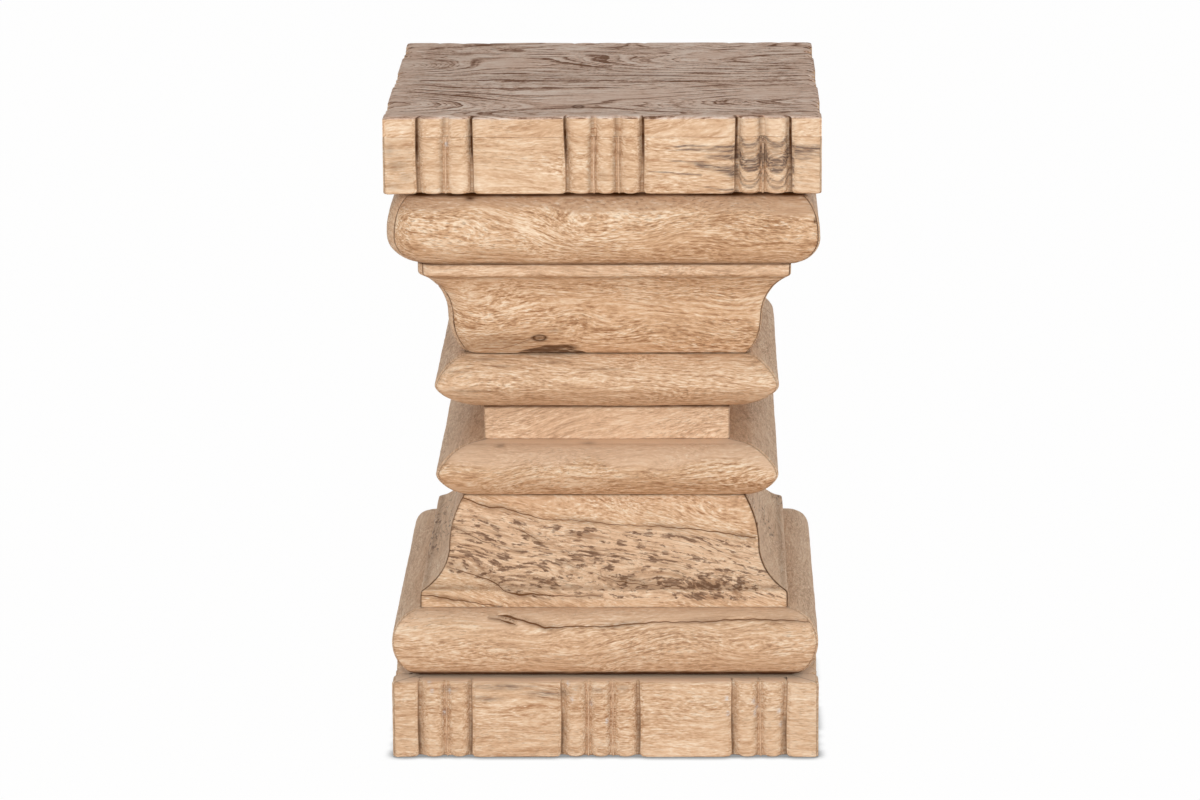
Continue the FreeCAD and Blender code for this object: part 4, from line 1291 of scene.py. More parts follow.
def moulding(number, layer, side):
    """One length of a moulding, with its wear, its marks and its grain."""
    seed = 100 * number + side
    draw = np.random.default_rng(seed)
    inner = span(layer).inner
    outline = closed_loop(faces[layer], inner, LEDGE_ROWS)
    wear = CORNER_WEAR[layer]
    stations = stations_along(2 * outline.points[:, 0].max())
    grid, to_mitre = lay_out(outline.points, inner, wear[side], wear[(side + 1) % len(SIDES)], stations)
    marks = blank_marks(grid)
    rolls = HAND_ROLL * wander(grid, ROLL_WAVE, seed)
    dents = HAND_DENT * wander(grid, DENT_WAVE, seed + 50)
    sunk = HAND_SINK + rolls + dents
    slope = draw.uniform(*MOULDING_TREE.slope)
    bend = 0.0
    if side == 0:
        column, row = picture_spot(grid)
        slope = FRONT_SLOPE[layer]
        bend = sum(rise * spot(column, row, at, size) for at, size, rise in FRONT_BENDS.get(layer, ()))
        if layer in FRONT_FEATURES:
            FRONT_FEATURES[layer](column, row, marks, sunk)
    else:
        other_features(layer, grid, seed, marks, sunk)
    mitre_line = near(to_mitre, MITRE_WIDE.get(layer, USUAL_MITRE_WIDE))
    sunk += MITRE_DEEP * mitre_line
    deepen(marks, "grime", EDGE_DIRT_AND_SHADE[layer].mitre * mitre_line)
    edge_dirt_and_shade(layer, outline, grid, marks)
    rubbing_and_dust(layer, side, outline, grid, seed, marks)
    heart_down = draw.uniform(*MOULDING_TREE.heart_down) * draw.choice([-1, 1])
    heart_back = draw.uniform(*MOULDING_TREE.heart_back)
    taper = draw.uniform(*MOULDING_TREE.taper)
    marks["board"] = in_its_tree(grid, seed, heart_down, heart_back, slope, taper, bend)
    grid = grid - outward(grid) * (sunk * outline.shows[:, None])[..., None]
    grid = grid + SETTLED.get(layer, 0.0) * quarter_turn(side)[0]
    slot = "spotted_moulding" if layer == "lower_ogee" else "worn_moulding"
    return stock(layer, side, slot, grid, marks)


mouldings = []
for number, layer in enumerate(faces):
    for side in range(len(SIDES)):
        mouldings.append(moulding(number, layer, side))
print("mouldings:", len(mouldings), "lengths,", sum(len(o.data.polygons) for o in mouldings), "faces")

# %% [markdown]
# The slab and the plinth are carved with flat panels and groups of round reeds, P and R below, with a deep
# groove where a panel meets a reed. The stretches of the front follow the picture. The other sides have
# the layout of the solid, each cut a little differently. Booleans could cut the reeds, but a depth for each
# point keeps the mesh even, and lets the edge of the top board and the rail under it be carved as one.

# %% Stretches of carving
STRETCHES = "PRRPRRRPRRP"
SLAB_FRONT = (-165, -138.4, -117.6, -98.4, -26.6, -6.2, 12.3, 30.1, 101.2, 120.6, 141.0, 165)
PLINTH_FRONT = (-165, -143.4, -122.7, -104.5, -32.8, -13.1, 5.8, 25.4, 99.0, 119.8, 138.8, 165)
EVEN = (-165, -142.0, -121.0, -100.5, -31.0, -10.2, 10.2, 31.0, 100.5, 121.0, 142.0, 165)
SLAB_SEED = 900
PLINTH_SEED = 950
CUT_APART = 0.0022
CUT_LEAN = 0.0006
CUT_BOW = (0.0001, 0.0004)
CUT_WAVE = 0.012
FULL_TURN = 6.3
CLOSE_HALF = 0.0046
CLOSE_REACH = 0.0044
CLOSE_STEP = 0.0004


def cut_lines(front, side, seed):
    """Where the stretches of one side part, in metres."""
    lines = np.array(front if side == 0 else EVEN, float) / 1000
    if side:
        lines[1:-1] += np.random.default_rng(seed).uniform(-CUT_APART, CUT_APART, len(lines) - 2)
    return lines


def hand_cut(draw, lines, up, height):
    """The parting lines at each point's height: a line cut by hand leans and bows a little."""
    cuts = []
    for line in lines:
        lean_by = draw.uniform(-CUT_LEAN, CUT_LEAN)
        bow = draw.uniform(*CUT_BOW)
        phase = draw.uniform(0.0, FULL_TURN)
        cuts.append(line + lean_by * (2 * up - 1) + bow * np.sin(height / CUT_WAVE + phase))
    return cuts


def places_along(lines, reach):
    """Places along a carved side, close together where something is cut and further apart between."""
    places = [np.arange(-reach + MITRE_MARGIN, reach - MITRE_MARGIN, LENGTH_STEP)]
    for line in lines[1:-1]:
        places = [p[np.abs(p - line) > CLOSE_HALF] for p in places]
        places.append(line + np.arange(-CLOSE_REACH, CLOSE_REACH + 0.0001, CLOSE_STEP))
    return np.unique(np.concatenate([*places, -reach + MITRE_STEPS, reach - MITRE_STEPS]))


print("carved stretches on each side:", STRETCHES)

# %% [markdown]
# A reed is a half round that stands upright, and a panel is flat with a rounded rim. Both are eased at their
# lower end. A reed could be a curve with a bevel that is joined to the rail, but as a depth that depends
# on the place across it, it stays part of the one mesh.

# %% Reeds and panels
REED_BACK = 0.0007
REED_RISE = 0.0040
REED_INSET = 0.0016
REED_PLUMP = (0.85, 1.15)
END_INSET = 0.0024
END_TALL = 0.0038
RIM_DEEP = 0.0011
RIM_WIDE = 0.0016
NO_GROOVE = 1.0
GROOVE_HALF = 0.0020


def reed_depth(draw, along, left, right, rounded_end):
    """Depth of a reed: least along its crown, most at its sides."""
    plump = draw.uniform(*REED_PLUMP)
    across = np.abs(along - (left + right) / 2) / ((right - left) / 2 - REED_INSET - rounded_end)
    round_back = np.clip(0.60 * across ** 2 + 0.40 * across ** 6, 0.0, 1.0)
    return REED_BACK + REED_RISE * plump * round_back


def panel_depth(from_left, from_right, rounded_end):
    """Depth of a panel: none but at its rounded rim."""
    rim = np.minimum(from_left, from_right) - GROOVE_HALF - rounded_end
    return RIM_DEEP * near(np.maximum(rim, 0.0), RIM_WIDE)


print("reeds are", (REED_BACK + REED_RISE) * 1000, "mm deep at their sides")

# %% [markdown]
# A groove is black at its bottom, mostly on the side of the panel: dirt and painted shade. The black is
# strongest towards the top on the slab and towards the foot on the plinth. Between two reeds a thin rib was
# left standing, with painted shade on both sides, wider on its left, and a pale crest of dust with a painted
# highlight. Ambient occlusion could darken the grooves, but it would make them all alike.

# %% Grooves and ribs
GROOVE_DEEP = 0.0058
GROOVE_LEAST_DARK = (0.25, 0.55)
CORE_ASIDE = 0.0005
CORE_WIDE = 0.0009
CORE_DARK = 1.8
GROOVE_DIRT_AND_SHADE = 0.42
GROOVE_SHADE_REACH = 0.0017
DARK_PART = (0.30, 0.62)
RIB_HALF = 0.0008
RIB_BACK = 0.0024
RIB_FALL = 0.0016
RIB_SHADE = (0.20, 0.38)
RIB_END_SOFT = 0.0004
LEFT_OF_RIB = 0.0030
LEFT_SHADE_REACH = 0.0020
RIGHT_OF_RIB = 0.0015
RIGHT_SHADE_REACH = 0.0007
MEETING_SHADE = 0.46
MEETING_AT = 0.0014
MEETING_REACH = 0.0022
RIB_DUST_AND_HIGHLIGHT = 0.35
RIB_HIGHLIGHT_REACH = 0.0006
WIDE_SHADE = 0.14
WIDE_SHADE_REACH = 0.0034


def groove(draw, beside, panel_right, toward_dark, rounded_end):
    """Depth, and dirt with painted shade, of the groove between a panel and a reed."""
    gap = np.abs(beside)
    cut = np.clip(1 - gap / (GROOVE_HALF + rounded_end), 0.0, 1.0)
    # Dirt and painted shade: the black core is weakest at one end of the groove and full at the other.
    worn = draw.uniform(*GROOVE_LEAST_DARK)
    strength = worn + (1 - worn) * step_up(toward_dark, *DARK_PART)
    core_at = CORE_ASIDE if panel_right else -CORE_ASIDE
    core = np.minimum(CORE_DARK * near(beside - core_at, CORE_WIDE), 1.0)
    # Painted shade on the slopes beside the groove, wider and fainter than the core.
    dirt_and_shade = np.maximum(strength * core, GROOVE_DIRT_AND_SHADE * near(gap, GROOVE_SHADE_REACH))
    dirt_and_shade = np.maximum(dirt_and_shade, WIDE_SHADE * near(gap, WIDE_SHADE_REACH))
    return GROOVE_DEEP * step_up(cut, 0.0, 0.62), dirt_and_shade


def rib_between(draw, beside, ribbed):
    """Depth, painted shade and pale crest of the rib between two reeds. Above its end the reeds just meet.
    """
    gap = np.abs(beside)
    rib = RIB_BACK + RIB_FALL * (gap / RIB_HALF) ** 2
    depth = np.where((gap < 2 * RIB_HALF) & (ribbed > 0.5), rib, 1.0)
    # Painted shade beside the rib, wide on its left and thin on its right, and in the valley where reeds
    # meet.
    left_line = near(beside + LEFT_OF_RIB, LEFT_SHADE_REACH)
    right_line = near(beside - RIGHT_OF_RIB, RIGHT_SHADE_REACH)
    rib_shade = draw.uniform(*RIB_SHADE) * np.maximum(left_line, right_line)
    meeting_shade = MEETING_SHADE * near(beside + MEETING_AT, MEETING_REACH)
    dirt_and_shade = meeting_shade + (rib_shade - meeting_shade) * ribbed
    dirt_and_shade = np.maximum(dirt_and_shade, WIDE_SHADE * near(gap, WIDE_SHADE_REACH) * (gap > RIB_HALF))
    # Pale crest: dust with a painted highlight.
    return depth, dirt_and_shade, RIB_DUST_AND_HIGHLIGHT * near(gap, RIB_HIGHLIGHT_REACH) * ribbed


print("grooves are up to", GROOVE_DEEP * 1000, "mm deep")

# %% [markdown]
# One function puts the stretches, grooves and ribs together, and gives the depth of the carving at any
# point of a side. The chisel also left shallow facets. They are a squeezed wander, shorter up the wood than
# along it, as if each cut of the chisel went across. A displacement modifier could add them, but not
# together with the grooves.

# %% Depth of the carving
CHISEL_SQUEEZE = np.array([0.7, 0.7, 1.6])
CHISEL_WAVE = 0.013
CHISEL_ROLL = 0.045


def carved_depth(along, height, bottom, top, lines, seed, rib_top, darkest_low=False):
    """Depth of carving on a flat face, its dirt and painted shade, and its dust and painted highlight."""
    draw = np.random.default_rng(seed)
    up = (height - bottom) / (top - bottom)
    cuts = hand_cut(draw, lines, up, height)
    rounded_end = END_INSET * np.clip(1 - (height - bottom) / END_TALL, 0.0, 1.0) ** 2
    depth = np.zeros_like(along)
    dirt_and_shade = np.zeros_like(along)
    dust = np.zeros_like(along)
    for k, kind in enumerate(STRETCHES):
        left = cuts[k]
        right = cuts[k + 1]
        if kind == "R":
            here = reed_depth(draw, along, left, right, rounded_end)
        else:
            from_left = along - left if k else NO_GROOVE
            from_right = right - along if k < len(STRETCHES) - 1 else NO_GROOVE
            here = panel_depth(from_left, from_right, rounded_end)
        depth = np.where((along >= left) & (along < right), here, depth)
    for k in range(1, len(STRETCHES)):
        beside = along - cuts[k]
        if STRETCHES[k - 1] != STRETCHES[k]:
            toward_dark = 1 - up if darkest_low else up
            groove_depth, more_dirt_and_shade = groove(draw, beside, STRETCHES[k] == "P", toward_dark, rounded_end)
            depth = np.maximum(depth, groove_depth)
        else:
            ribbed = step_up(rib_top - height, -RIB_END_SOFT, RIB_END_SOFT)
            rib_depth, more_dirt_and_shade, more_dust = rib_between(draw, beside, ribbed)
            depth = np.minimum(depth, rib_depth)
            dust = np.maximum(dust, more_dust)
        dirt_and_shade = np.maximum(dirt_and_shade, more_dirt_and_shade)
    return depth, dirt_and_shade, dust


def tool_marks(grid, seed, strength):
    """Shallow chisel facets, mostly across the reeds."""
    fine = wander(grid * CHISEL_SQUEEZE, CHISEL_WAVE, seed + 7)
    broad = wander(grid, CHISEL_ROLL, seed + 8)
    return strength * (0.5 + 0.25 * broad + 0.25 * np.maximum(fine, -0.4))


print("chisel facets are about", CHISEL_WAVE * 1000, "mm wide")

# %% [markdown]
# On the front right of the frieze a grey stain, such as a fungus leaves in wood, follows the layers of
# growth. Where a reed is rounded it cuts other layers, so the stain hangs in loops on the reeds, while on
# the flat panel it runs in streaks. A painted mask could show it, but here the loops come from the carving.

# %% Grey stain of the frieze
REED_LOOP = 2.0
LOOP_DROP = 0.0075
REEDS_FROM = (0.1025, 0.1035)
END_PANEL_FROM = (0.1435, 0.1450)
STAIN_SEED = 31
STAIN_RAGGED = 0.0009
STAIN_STRETCH = np.array([0.6, 1.0, 2.0])
STAIN_WAVE = 0.014
STAIN_SOFT = 0.0006
RAGGED_PIXELS = 700
StainBand = namedtuple("StainBand", "level half_thick on_reeds on_panel")
STAIN_BANDS = (
    StainBand(0.4815, 0.0022, 0.85, 1.0), StainBand(0.4668, 0.0058, 1.0, 0.1),
    StainBand(0.4547, 0.0010, 0.8, 0.1), StainBand(0.4500, 0.0016, 0.75, 0.0),
    StainBand(0.4745, 0.0014, 0.5, 0.6), StainBand(0.4795, 0.0054, 0.42, 0.62))
STAIN_STROKES = (
    ((652, 146), (737, 147), 1.1), ((660, 149.5), (737, 151), 1.8), ((700, 157), (737, 157.5), 3.2),
    ((665, 160), (702, 163), 1.0), ((688, 163), (737, 172.5), 4.6), ((640, 171), (700, 175), 0.8),
    ((712, 166), (737, 167.5), 1.5), ((720, 195.5), (737, 194.5), 2.2), ((700, 188), (732, 190), 1.0),
    ((780, 151), (826, 150), 3.0))


def stroke(column, row, start, end, thick):
    """A streak in the picture that swells from its start to its end, and stops there."""
    done = np.clip((column - start[0]) / (end[0] - start[0]), 0.0, 1.0)
    middle = start[1] + done * (end[1] - start[1])
    ends = step_up(done, 0.0, 0.35) * (column < end[0] + 2.0)
    return np.minimum(1.5 * ends * near(row - middle, thick * (0.35 + 0.65 * done)), 1.0)


def frieze_stain(grid, column, row, carved):
    """The grey stain at the right of the front: streaks on the panel, loops on the reeds."""
    along, height = grid[..., 0], grid[..., 2]
    ragged = STAIN_RAGGED * wander(grid * STAIN_STRETCH, STAIN_WAVE, STAIN_SEED)
    level_here = height - REED_LOOP * (carved - REED_BACK - REED_RISE) - LOOP_DROP + ragged
    on_reeds = step_up(along, *REEDS_FROM)
    at_end = step_up(along, *END_PANEL_FROM)
    stain = np.zeros_like(along)
    for band in STAIN_BANDS:
        strength = band.on_reeds + (band.on_panel - band.on_reeds) * at_end
        off_band = band.half_thick - np.abs(level_here - band.level)
        inside_band = step_up(off_band, -STAIN_SOFT, STAIN_SOFT)
        stain = np.maximum(stain, on_reeds * strength * inside_band)
    for start, end, thick in STAIN_STROKES:
        stain = np.maximum(stain, stroke(column, row + RAGGED_PIXELS * ragged, start, end, thick))
    return stain


print("grey stain:", len(STAIN_BANDS), "bands and", len(STAIN_STROKES), "strokes")

# %% [markdown]
# The rails of the frieze and of the plinth are the carved lengths. They are drawn out like the mouldings,
# and the carving then moves their points straight back, so the ends of the reeds make the lower edge of
# the slab look scalloped. The plinth stands on the floor and has a ledge on top, which catches the light.

# %% Marks of the rails
SMUDGES = (
    ((505, 687), (32, 3.4), 0.85), ((548, 694), (20, 4.2), 0.85), ((487, 699), (14, 3.0), 0.75),
    ((450, 690), (10, 3.0), 0.5), ((577, 688), (6, 4.0), 0.5), ((598, 690), (7, 3.6), 0.5),
    ((623, 689), (7, 3.6), 0.45))
TAN_PATCHES = (
    ((396, 166), (12, 6), 0.36), ((389, 150), (6, 8), 0.32), ((406, 177), (8, 5), 0.28),
    ((393, 186), (10, 4), 0.26), ((398, 160), (16, 26), 0.10), ((440, 168), (6, 9), 0.18),
    ((602, 176), (8, 7), 0.14))
RESIDUE_SPECKS = (
    (429, 683), (446, 145), (449, 692), (432, 691), (444, 714), (568, 684), (572, 700), (607, 722),
    (591, 705), (728, 714), (727, 699), (754, 702), (755, 714), (757, 708), (781, 725), (779, 712))
SPECK_SIZE = (1.5, 2.4)


def rail_front(on_floor, grid, carved, marks):
    """Residue, stains and patches that can be seen on the front rails."""
    column, row = picture_spot(grid)
    for at in RESIDUE_SPECKS:
        deepen(marks, "pale", 0.9 * spot(column, row, at, SPECK_SIZE))
    if on_floor:
        for at, size, strength in SMUDGES:
            deepen(marks, "spalt", strength * spot(column, row, at, size))
    else:
        marks["spalt"] = frieze_stain(grid, column, row, carved)
        for at, size, strength in TAN_PATCHES:
            deepen(marks, "grime", strength * spot(column, row, at, size))


def ledge_of_plinth(outline, marks):
    """Painted light with dust on the part of the ledge that shows, and painted shadow under the half round
    on it.
    """
    torus_root = span("lower_ogee").reach
    count = len(outline.points)
    on_ledge = (np.arange(count) > count / 2) * (1 - outline.shows)
    lit_ledge = on_ledge * step_up(outline.points[:, 0], torus_root - 0.0010, torus_root + 0.0004)
    # Painted light against the shade of the half round above, with dust.
    deepen(marks, "dust", LEDGE_PAINTED_LIGHT * lit_ledge[:, None])
    deepen(marks, "calm", lit_ledge[:, None])
    # Painted shadow where the half round overhangs the ledge.
    deepen(marks, "grime", (on_ledge - lit_ledge)[:, None])


print("front rails:", len(RESIDUE_SPECKS), "specks,", len(SMUDGES) + len(TAN_PATCHES), "patches")

# %% [markdown]
# Each rail is now built from its outline, its carving and its marks. A rail could be modelled once and
# turned to the other sides, but then all sides would have the same cuts. The chisel marks fade out near
# the corners, so that the mitres stay sharp, as on the real table.

# %% Frieze and plinth rails
SLAB_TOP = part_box("top_board")[1].z
LEDGE_STEPS = (0.0300, 0.0240, 0.0200, 0.0180, 0.0174, 0.0167, 0.0160, 0.0153, 0.0130, 0.0100, 0.0075,
               0.0055, 0.0038, 0.0024, 0.0012)
# Per rail: dirt and painted shade in the grooves, and painted shadow along the lower edge.
RailWear = namedtuple("RailWear", "low high corner chisel groove_dirt low_dirt")
RAIL_WEAR = {
    "frieze_rail": RailWear(0.0018, 0.0002, 0.0030, 0.0007, 1.0, 0.45),
    "plinth_rail": RailWear(0.0005, 0.0020, 0.0045, 0.0010, 0.62, 0.25),
}
CARVED_FROM = 0.018
CARVED_FULL = 0.005
MARKS_FROM = 0.006
MARKS_FULL = 0.001
PLAIN_CORNER = 0.009
RAIL_MITRE_DEEP = 0.0004
RAIL_MITRE_DIRT = 0.5
RAIL_MITRE_DIRT_WIDE = 0.0005
LOW_SHADE_WIDE = 0.0007
RAIL_TREE = Tree((0.03, 0.05), (0.06, 0.10), (-0.03, 0.03), (-0.04, 0.04))


def rail(layer, side, front_lines, seed):
    """One carved length of the frieze or the plinth."""
    inner, reach, bottom, top = span(layer)
    wear = RAIL_WEAR[layer]
    on_floor = layer == "plinth_rail"
    outline = closed_loop(flat_face(layer, wear.low, wear.high), inner, LEDGE_STEPS)
    lines = cut_lines(front_lines, side, seed)
    outer_half = reach - wear.corner * (1 - math.pi / 4)
    stations = places_along(lines, outer_half) / outer_half
    grid, to_mitre = lay_out(outline.points, inner, wear.corner, wear.corner, stations)
    marks = blank_marks(grid)
    carved_top = top if on_floor else SLAB_TOP
    carved, dirt_and_shade, dust = carved_depth(
        grid[..., 0], grid[..., 2], bottom, carved_top, lines, seed, top, on_floor)
    outs = outline.points[:, 0]
    cut_in = carved * step_up(outs, reach - CARVED_FROM, reach - CARVED_FULL)[:, None]
    near_face = step_up(outs, reach - MARKS_FROM, reach - MARKS_FULL)[:, None]
    chisel = np.maximum(tool_marks(grid, seed, wear.chisel), 0.0)
    mitre_line = RAIL_MITRE_DEEP * near(to_mitre, USUAL_MITRE_WIDE)
    sunk = step_up(to_mitre, 0.0, PLAIN_CORNER) * chisel + mitre_line
    # Dirt and painted shade in the grooves.
    marks["grime"] = wear.groove_dirt * dirt_and_shade * near_face
    deepen(marks, "grime", RAIL_MITRE_DIRT * near(to_mitre, RAIL_MITRE_DIRT_WIDE))
    # Painted shadow along the lower edge: under the slab, and at the foot of the plinth.
    deepen(marks, "grime", wear.low_dirt * near(outline.from_low, LOW_SHADE_WIDE)[:, None])
    marks["dust"] = dust * near_face
    if on_floor:
        ledge_of_plinth(outline, marks)
    if side == 0:
        rail_front(on_floor, grid, carved, marks)
    grid = grid - outward(grid) * (sunk * outline.shows[:, None])[..., None]
    grid[..., 1] += cut_in
    draw = np.random.default_rng(seed)
    place_in_tree = [draw.uniform(*limits) for limits in RAIL_TREE]
    marks["board"] = in_its_tree(grid, seed, *place_in_tree)
    return stock(layer, side, "carved_tan", grid, marks)


rails = []
for side in range(len(SIDES)):
    rails.append(rail("frieze_rail", side, SLAB_FRONT, SLAB_SEED + side))
    rails.append(rail("plinth_rail", side, PLINTH_FRONT, PLINTH_SEED + side))
print("carved rails:", len(rails), "lengths,", sum(len(o.data.polygons) for o in rails), "faces")

# %% [markdown]
# The top board is a single wide board, grey-brown from wear, with the same carving round its edge. It is
# made as a loop of points round the rim that is drawn up the edge, over the worn arris, and then inwards in
# smaller and smaller loops to the middle. A plain grid would need small faces all over, while this keeps
# the carving crisp at the edge and the faces few inside.

# %% Loops of the top board
board_low, board_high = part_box("top_board")
half = board_high.x
board_bottom = board_low.z
board_top = board_high.z
ARRIS_IN = 0.0060
ARRIS_DOWN = 0.0021
EDGE_LOOPS = 12
ARRIS_LOOPS = 8
INNER_LOOPS = 41
INNER_CROWDING = 1.2
MIDDLE_HOLE = 0.001

side_lines = [cut_lines(SLAB_FRONT, side, SLAB_SEED + side) for side in range(len(SIDES))]
side_places = [places_along(lines, half)[:-1] for lines in side_lines]
rim_sides = []
for side, places in enumerate(side_places):
    front_edge = np.column_stack([places, np.full(len(places), -half)])
    rim_sides.append(front_edge @ quarter_turn(side)[:2, :2].T)
rim = np.concatenate(rim_sides)

edge_levels = np.linspace(board_bottom, board_top - ARRIS_DOWN, EDGE_LOOPS)
turn_over = np.linspace(0.0, math.pi / 2, ARRIS_LOOPS)[1:]
arris_levels = board_top - ARRIS_DOWN + ARRIS_DOWN * np.sin(turn_over)
arris_inset = ARRIS_IN - ARRIS_IN * np.cos(turn_over)
inner_share = np.linspace(0.0, 1.0, INNER_LOOPS)[1:] ** INNER_CROWDING
inner_inset = ARRIS_IN + (half - ARRIS_IN - MIDDLE_HOLE) * inner_share
levels = np.concatenate([edge_levels, arris_levels, np.full(len(inner_inset), board_top)])
inset = np.concatenate([np.zeros(EDGE_LOOPS), arris_inset, inner_inset])
top_grid = np.empty((len(levels), len(rim), 3))
top_grid[..., :2] = rim * ((half - inset) / half)[:, None, None]
top_grid[..., 2] = levels[:, None]
print("top board:", len(levels), "loops of", len(rim), "points")

# %% [markdown]
# The edge of the board is carved with the same function as the rail below it, so the reeds run through
# both. The carving sinks the rim inwards and fades out over the arris. The surface dips a little here and
# there, as a worn top does. Sculpting could do this too, but here no point rises above the solid.

# %% Carved edge and worn surface of the top board
CARVED_FADE = 0.005
CARVED_FADE_FROM = 0.001
CORNER_IN = 0.0010
CORNER_WIDE = 0.0020
RIM_IN = 0.0002
RIM_DIRT_AND_SHADE = 0.92
RIM_SHADE_REACH = 0.0035
RIM_HIGHLIGHT_REACH = 0.0020
DIP_MIDDLE = 0.0003
DIP_LEAST = 0.00002
DIP_STARTS = 0.004
BROAD_DIP = 0.0002
BROAD_DIP_WAVE = 0.09
BROAD_DIP_SEED = 71
GRAIN_DIP = 0.0001
GRAIN_DIP_WAVE = 0.016
GRAIN_DIP_STRETCH = np.array([0.3, 1.0, 1.0])
GRAIN_DIP_SEED = 72

slab_bottom = span("frieze_rail").bottom
top_marks = blank_marks(top_grid)
sink_in = np.zeros(top_grid.shape[:2])
first = 0
for side, places in enumerate(side_places):
    part_of_rim = slice(first, first + len(places))
    first = part_of_rim.stop
    along = np.broadcast_to(places, (len(levels), len(places)))
    heights = np.broadcast_to(levels[:, None], along.shape)
    carved, dirt_and_shade, dust = carved_depth(
        along, heights, slab_bottom, SLAB_TOP, side_lines[side], SLAB_SEED + side, board_bottom)
    reach_in = near(np.maximum(inset[:, None] - CARVED_FADE_FROM, 0.0), CARVED_FADE)
    corner = CORNER_IN * near(half - np.abs(along), CORNER_WIDE)
    sink_in[:, part_of_rim] = (carved + corner) * reach_in + RIM_IN
    # Dirt and painted shade in the carved grooves of the edge, and dust with a painted highlight on rib
    # crests.
    top_marks["grime"][:, part_of_rim] = RIM_DIRT_AND_SHADE * dirt_and_shade * near(inset[:, None], RIM_SHADE_REACH)
    top_marks["dust"][:, part_of_rim] = dust * near(inset[:, None], RIM_HIGHLIGHT_REACH)
inward = -np.sign(rim) * (np.abs(rim) >= half - 1e-6)
top_grid[..., :2] += inward * sink_in[..., None]
broad_dips = BROAD_DIP * wander(top_grid, BROAD_DIP_WAVE, BROAD_DIP_SEED)
grain_dips = GRAIN_DIP * wander(top_grid * GRAIN_DIP_STRETCH, GRAIN_DIP_WAVE, GRAIN_DIP_SEED)
dips = np.maximum(DIP_MIDDLE + broad_dips + grain_dips, DIP_LEAST)
top_grid[..., 2] -= dips * step_up(levels, board_bottom + DIP_STARTS, board_top)[:, None]
deepest = round(sink_in.max() * 1000, 1)
print("top board: dips of up to", round(dips.max() * 1000, 2), "mm, edge carved up to", deepest, "mm")

# %% [markdown]
# The figure of the top is its most telling mark: long dark lines that close in on themselves around swells
# in the wood. They are contour lines of a height that is level along the grain, with a swell added for
# each place where the real lines bend. Rubbed patches, tan patches and one knot complete it.

# %% Figure of the top board
WEATHER_FROM = 0.8
WEATHER_SOFT = 0.0005
RIM_CALM = 0.65
RIM_CALM_AT = 0.008
GROWTH_GAP = 0.042
Swell = namedtuple("Swell", "across back wide deep layers turn_by")
GROWTH_SWELLS = (
    Swell(0.165, 0.080, 0.160, 0.050, 6.0, 0.08), Swell(-0.166, 0.055, 0.052, 0.036, 4.5, 0.0),
    Swell(0.185, -0.090, 0.135, 0.046, -4.6, 0.14), Swell(-0.176, -0.100, 0.085, 0.046, -5.0, -0.30),
    Swell(0.090, 0.175, 0.100, 0.030, 3.0, 0.35), Swell(-0.070, 0.125, 0.110, 0.020, 1.6, 0.08),
    Swell(-0.020, -0.150, 0.200, 0.022, 1.6, 0.0))
CALM_PATCHES = (
    ((505, 64), (34, 7)), ((628, 96), (75, 9)), ((715, 55), (30, 5)), ((770, 92), (40, 8)),
    ((560, 104), (60, 5)))
TOP_KNOT = ((578, 106.6), (6.0, 1.7))
TAN_OVALS = (
    ((-0.05, 0.0), (0.085, 0.032), 0.17), ((0.0, -0.150), (0.160, 0.012), 0.15),
    ((-0.10, 0.135), (0.060, 0.020), 0.10), ((-0.130, 0.03), (0.040, 0.110), 0.12))
HEART_UNDER = 0.040
HEART_ASIDE = 0.085
HEART_TAPER = -0.11
TREE_PLACE = 3.7

flat_top = step_up(inset, 0.0, ARRIS_IN)[:, None]
weather_line = board_top - WEATHER_FROM * ARRIS_DOWN
weathered_levels = step_up(levels, weather_line - WEATHER_SOFT, weather_line + WEATHER_SOFT)
deepen(top_marks, "weather", weathered_levels[:, None])
deepen(top_marks, "calm", RIM_CALM * near(inset - RIM_CALM_AT, RIM_CALM_AT)[:, None])
column, row = picture_spot(top_grid)
for at, size in CALM_PATCHES:
    deepen(top_marks, "calm", flat_top * spot(column, row, at, size))
from_knot = off_middle(column, row, *TOP_KNOT)
top_marks["bark"] = flat_top * np.maximum(near(from_knot - 0.8, 0.30), 0.55 * near(from_knot, 0.6))
across, back, height = top_grid[..., 0], top_grid[..., 1], top_grid[..., 2]
top_marks["growth"] = back / GROWTH_GAP
for swell in GROWTH_SWELLS:
    in_swell = spot(across, back, (swell.across, swell.back), (swell.wide, swell.deep), swell.turn_by)
    top_marks["growth"] += swell.layers * in_swell
for at, size, strength in TAN_OVALS:
    deepen(top_marks, "grime", strength * flat_top * spot(across, back, at, size))
heart_down = height - board_top + HEART_UNDER + HEART_TAPER * across
top_marks["board"] = np.stack([across + TREE_PLACE, back - HEART_ASIDE, heart_down], axis=-1)
print("layers of growth on the top:", round(np.ptp(top_marks["growth"])))

# %% [markdown]
# The loops become one closed mesh, in the same way as the lengths: here the grid closes round the rim
# instead of round the outline, and the caps are the underside and the small hole in the middle. A fan of
# triangles could close the hole, but one small face with many sides does as well.

# %% Top board
point_numbers = np.arange(top_grid.shape[0] * top_grid.shape[1]).reshape(top_grid.shape[:2])
round_rim = np.concatenate([point_numbers, point_numbers[:, :1]], axis=1)
top_caps = [point_numbers[0, ::-1], point_numbers[-1]]
top_wood = make_solid(
    "top_board_wood", "top_board", "weathered_top", top_grid, grid_faces(round_rim), top_caps, top_marks)
print("top board:", len(top_wood.data.polygons), "faces")

# %% [markdown]
# Inside the hollow are posts, a board, blocks, keys, dowels and screws. Their solids are right as they are,
# and only from below can any of them be seen, so they keep their shapes and get plain finishes: sawn wood,
# a close-grained hardwood for the joints, and brushed steel.

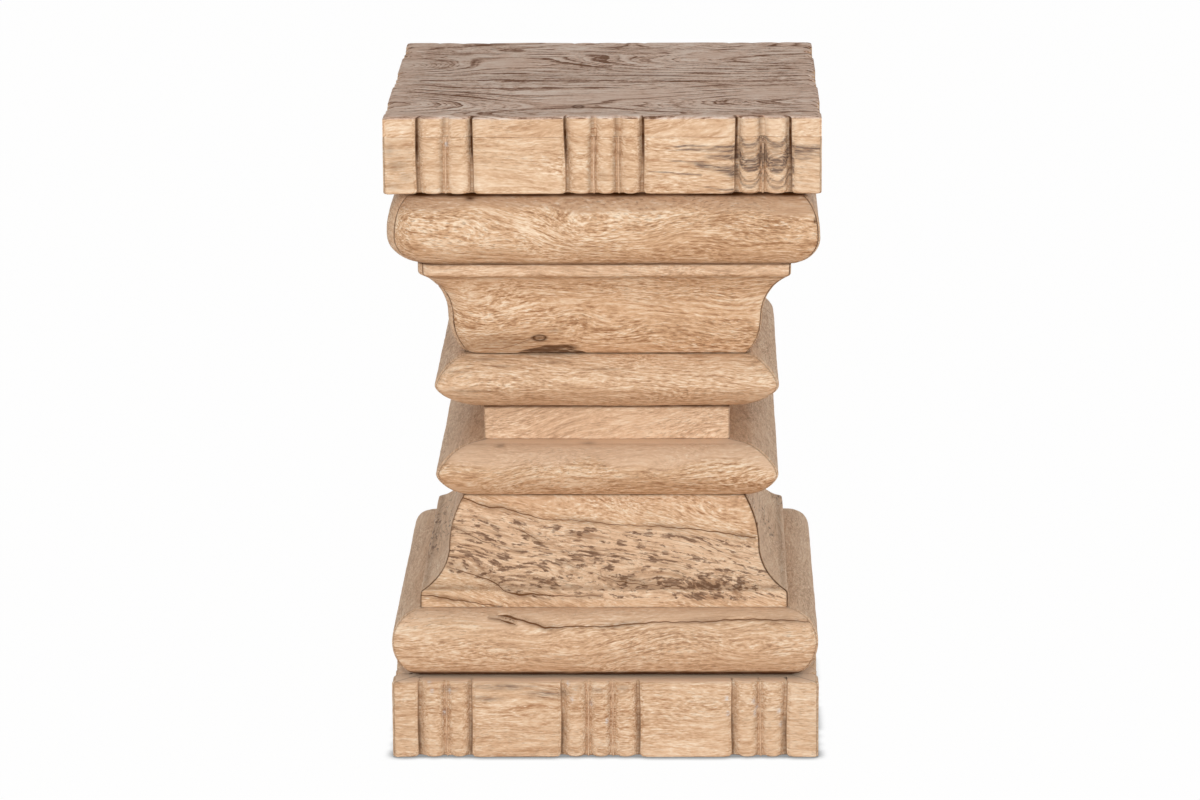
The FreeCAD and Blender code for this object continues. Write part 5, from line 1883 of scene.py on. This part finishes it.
# %% Inside
SAWN_ALONG = 18.0
SAWN_ACROSS = 420.0
SAWN_BLOTCH = (25.0, 25.0, 25.0)
SCRATCHES = (900.0, 900.0, 120.0)
STEEL_DARK = (0.42, 0.42, 0.43)
STEEL_LIGHT = (0.62, 0.62, 0.62)
JOINT_LIGHT = (0.68, 0.48, 0.30)
JOINT_DARK = (0.54, 0.35, 0.20)


def plain_wood(name, light, dark, along_axis):
    """Plain sawn wood for the hidden parts, patterned by the place in the table."""
    recipe = Finish(name)
    place = recipe.add("TexCoord").outputs["Object"]
    stretch = [SAWN_ALONG if axis == along_axis else SAWN_ACROSS for axis in "xyz"]
    lines = recipe.cloud(place, stretch, 3.0, 0.6).outputs[0]
    blotch = recipe.cloud(place, SAWN_BLOTCH).outputs[0]
    tone = recipe.plus(recipe.times(lines, 0.7), recipe.times(blotch, 0.3))
    colour = recipe.blend(recipe.ramp(tone, 0.35, 0.65), dark, light)
    rough = recipe.ramp(blotch, 0.3, 0.7, 0.62, 0.78)
    return recipe.surface(colour, rough, lines, strength=0.4, depth=0.0006)


def screw_metal(name):
    """Brushed steel with faint scratches."""
    recipe = Finish(name)
    place = recipe.add("TexCoord").outputs["Object"]
    scratch = recipe.cloud(place, SCRATCHES).outputs[0]
    colour = recipe.blend(scratch, STEEL_DARK, STEEL_LIGHT)
    rough = recipe.ramp(scratch, 0.3, 0.7, 0.28, 0.46)
    return recipe.surface(colour, rough, scratch, strength=0.2, depth=0.0002, fixed={"Metallic": 1.0})


INSIDE = {
    "core_post": plain_wood("sawn post wood", (0.68, 0.50, 0.32), (0.50, 0.33, 0.19), "z"),
    "corner_block": plain_wood("sawn block wood", (0.66, 0.48, 0.31), (0.48, 0.32, 0.18), "z"),
    "base_board": plain_wood("sawn board wood", (0.67, 0.49, 0.32), (0.49, 0.32, 0.19), "x"),
    "mitre_keys": plain_wood("key wood", JOINT_LIGHT, JOINT_DARK, "x"),
    "dowels": plain_wood("dowel wood", JOINT_LIGHT, JOINT_DARK, "z"),
    "screws": screw_metal("screw steel"),
}
dressed = 0
for node_name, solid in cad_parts.items():
    for word, material in INSIDE.items():
        if word in node_name:
            for material_slot in solid.material_slots:
                material_slot.material = material
            dressed += 1
print("inside solids with a finish:", dressed)

# %% [markdown]
# On the slab and the plinth, wear and carving only take wood away, so the wood there stays inside the box
# of the solid model.
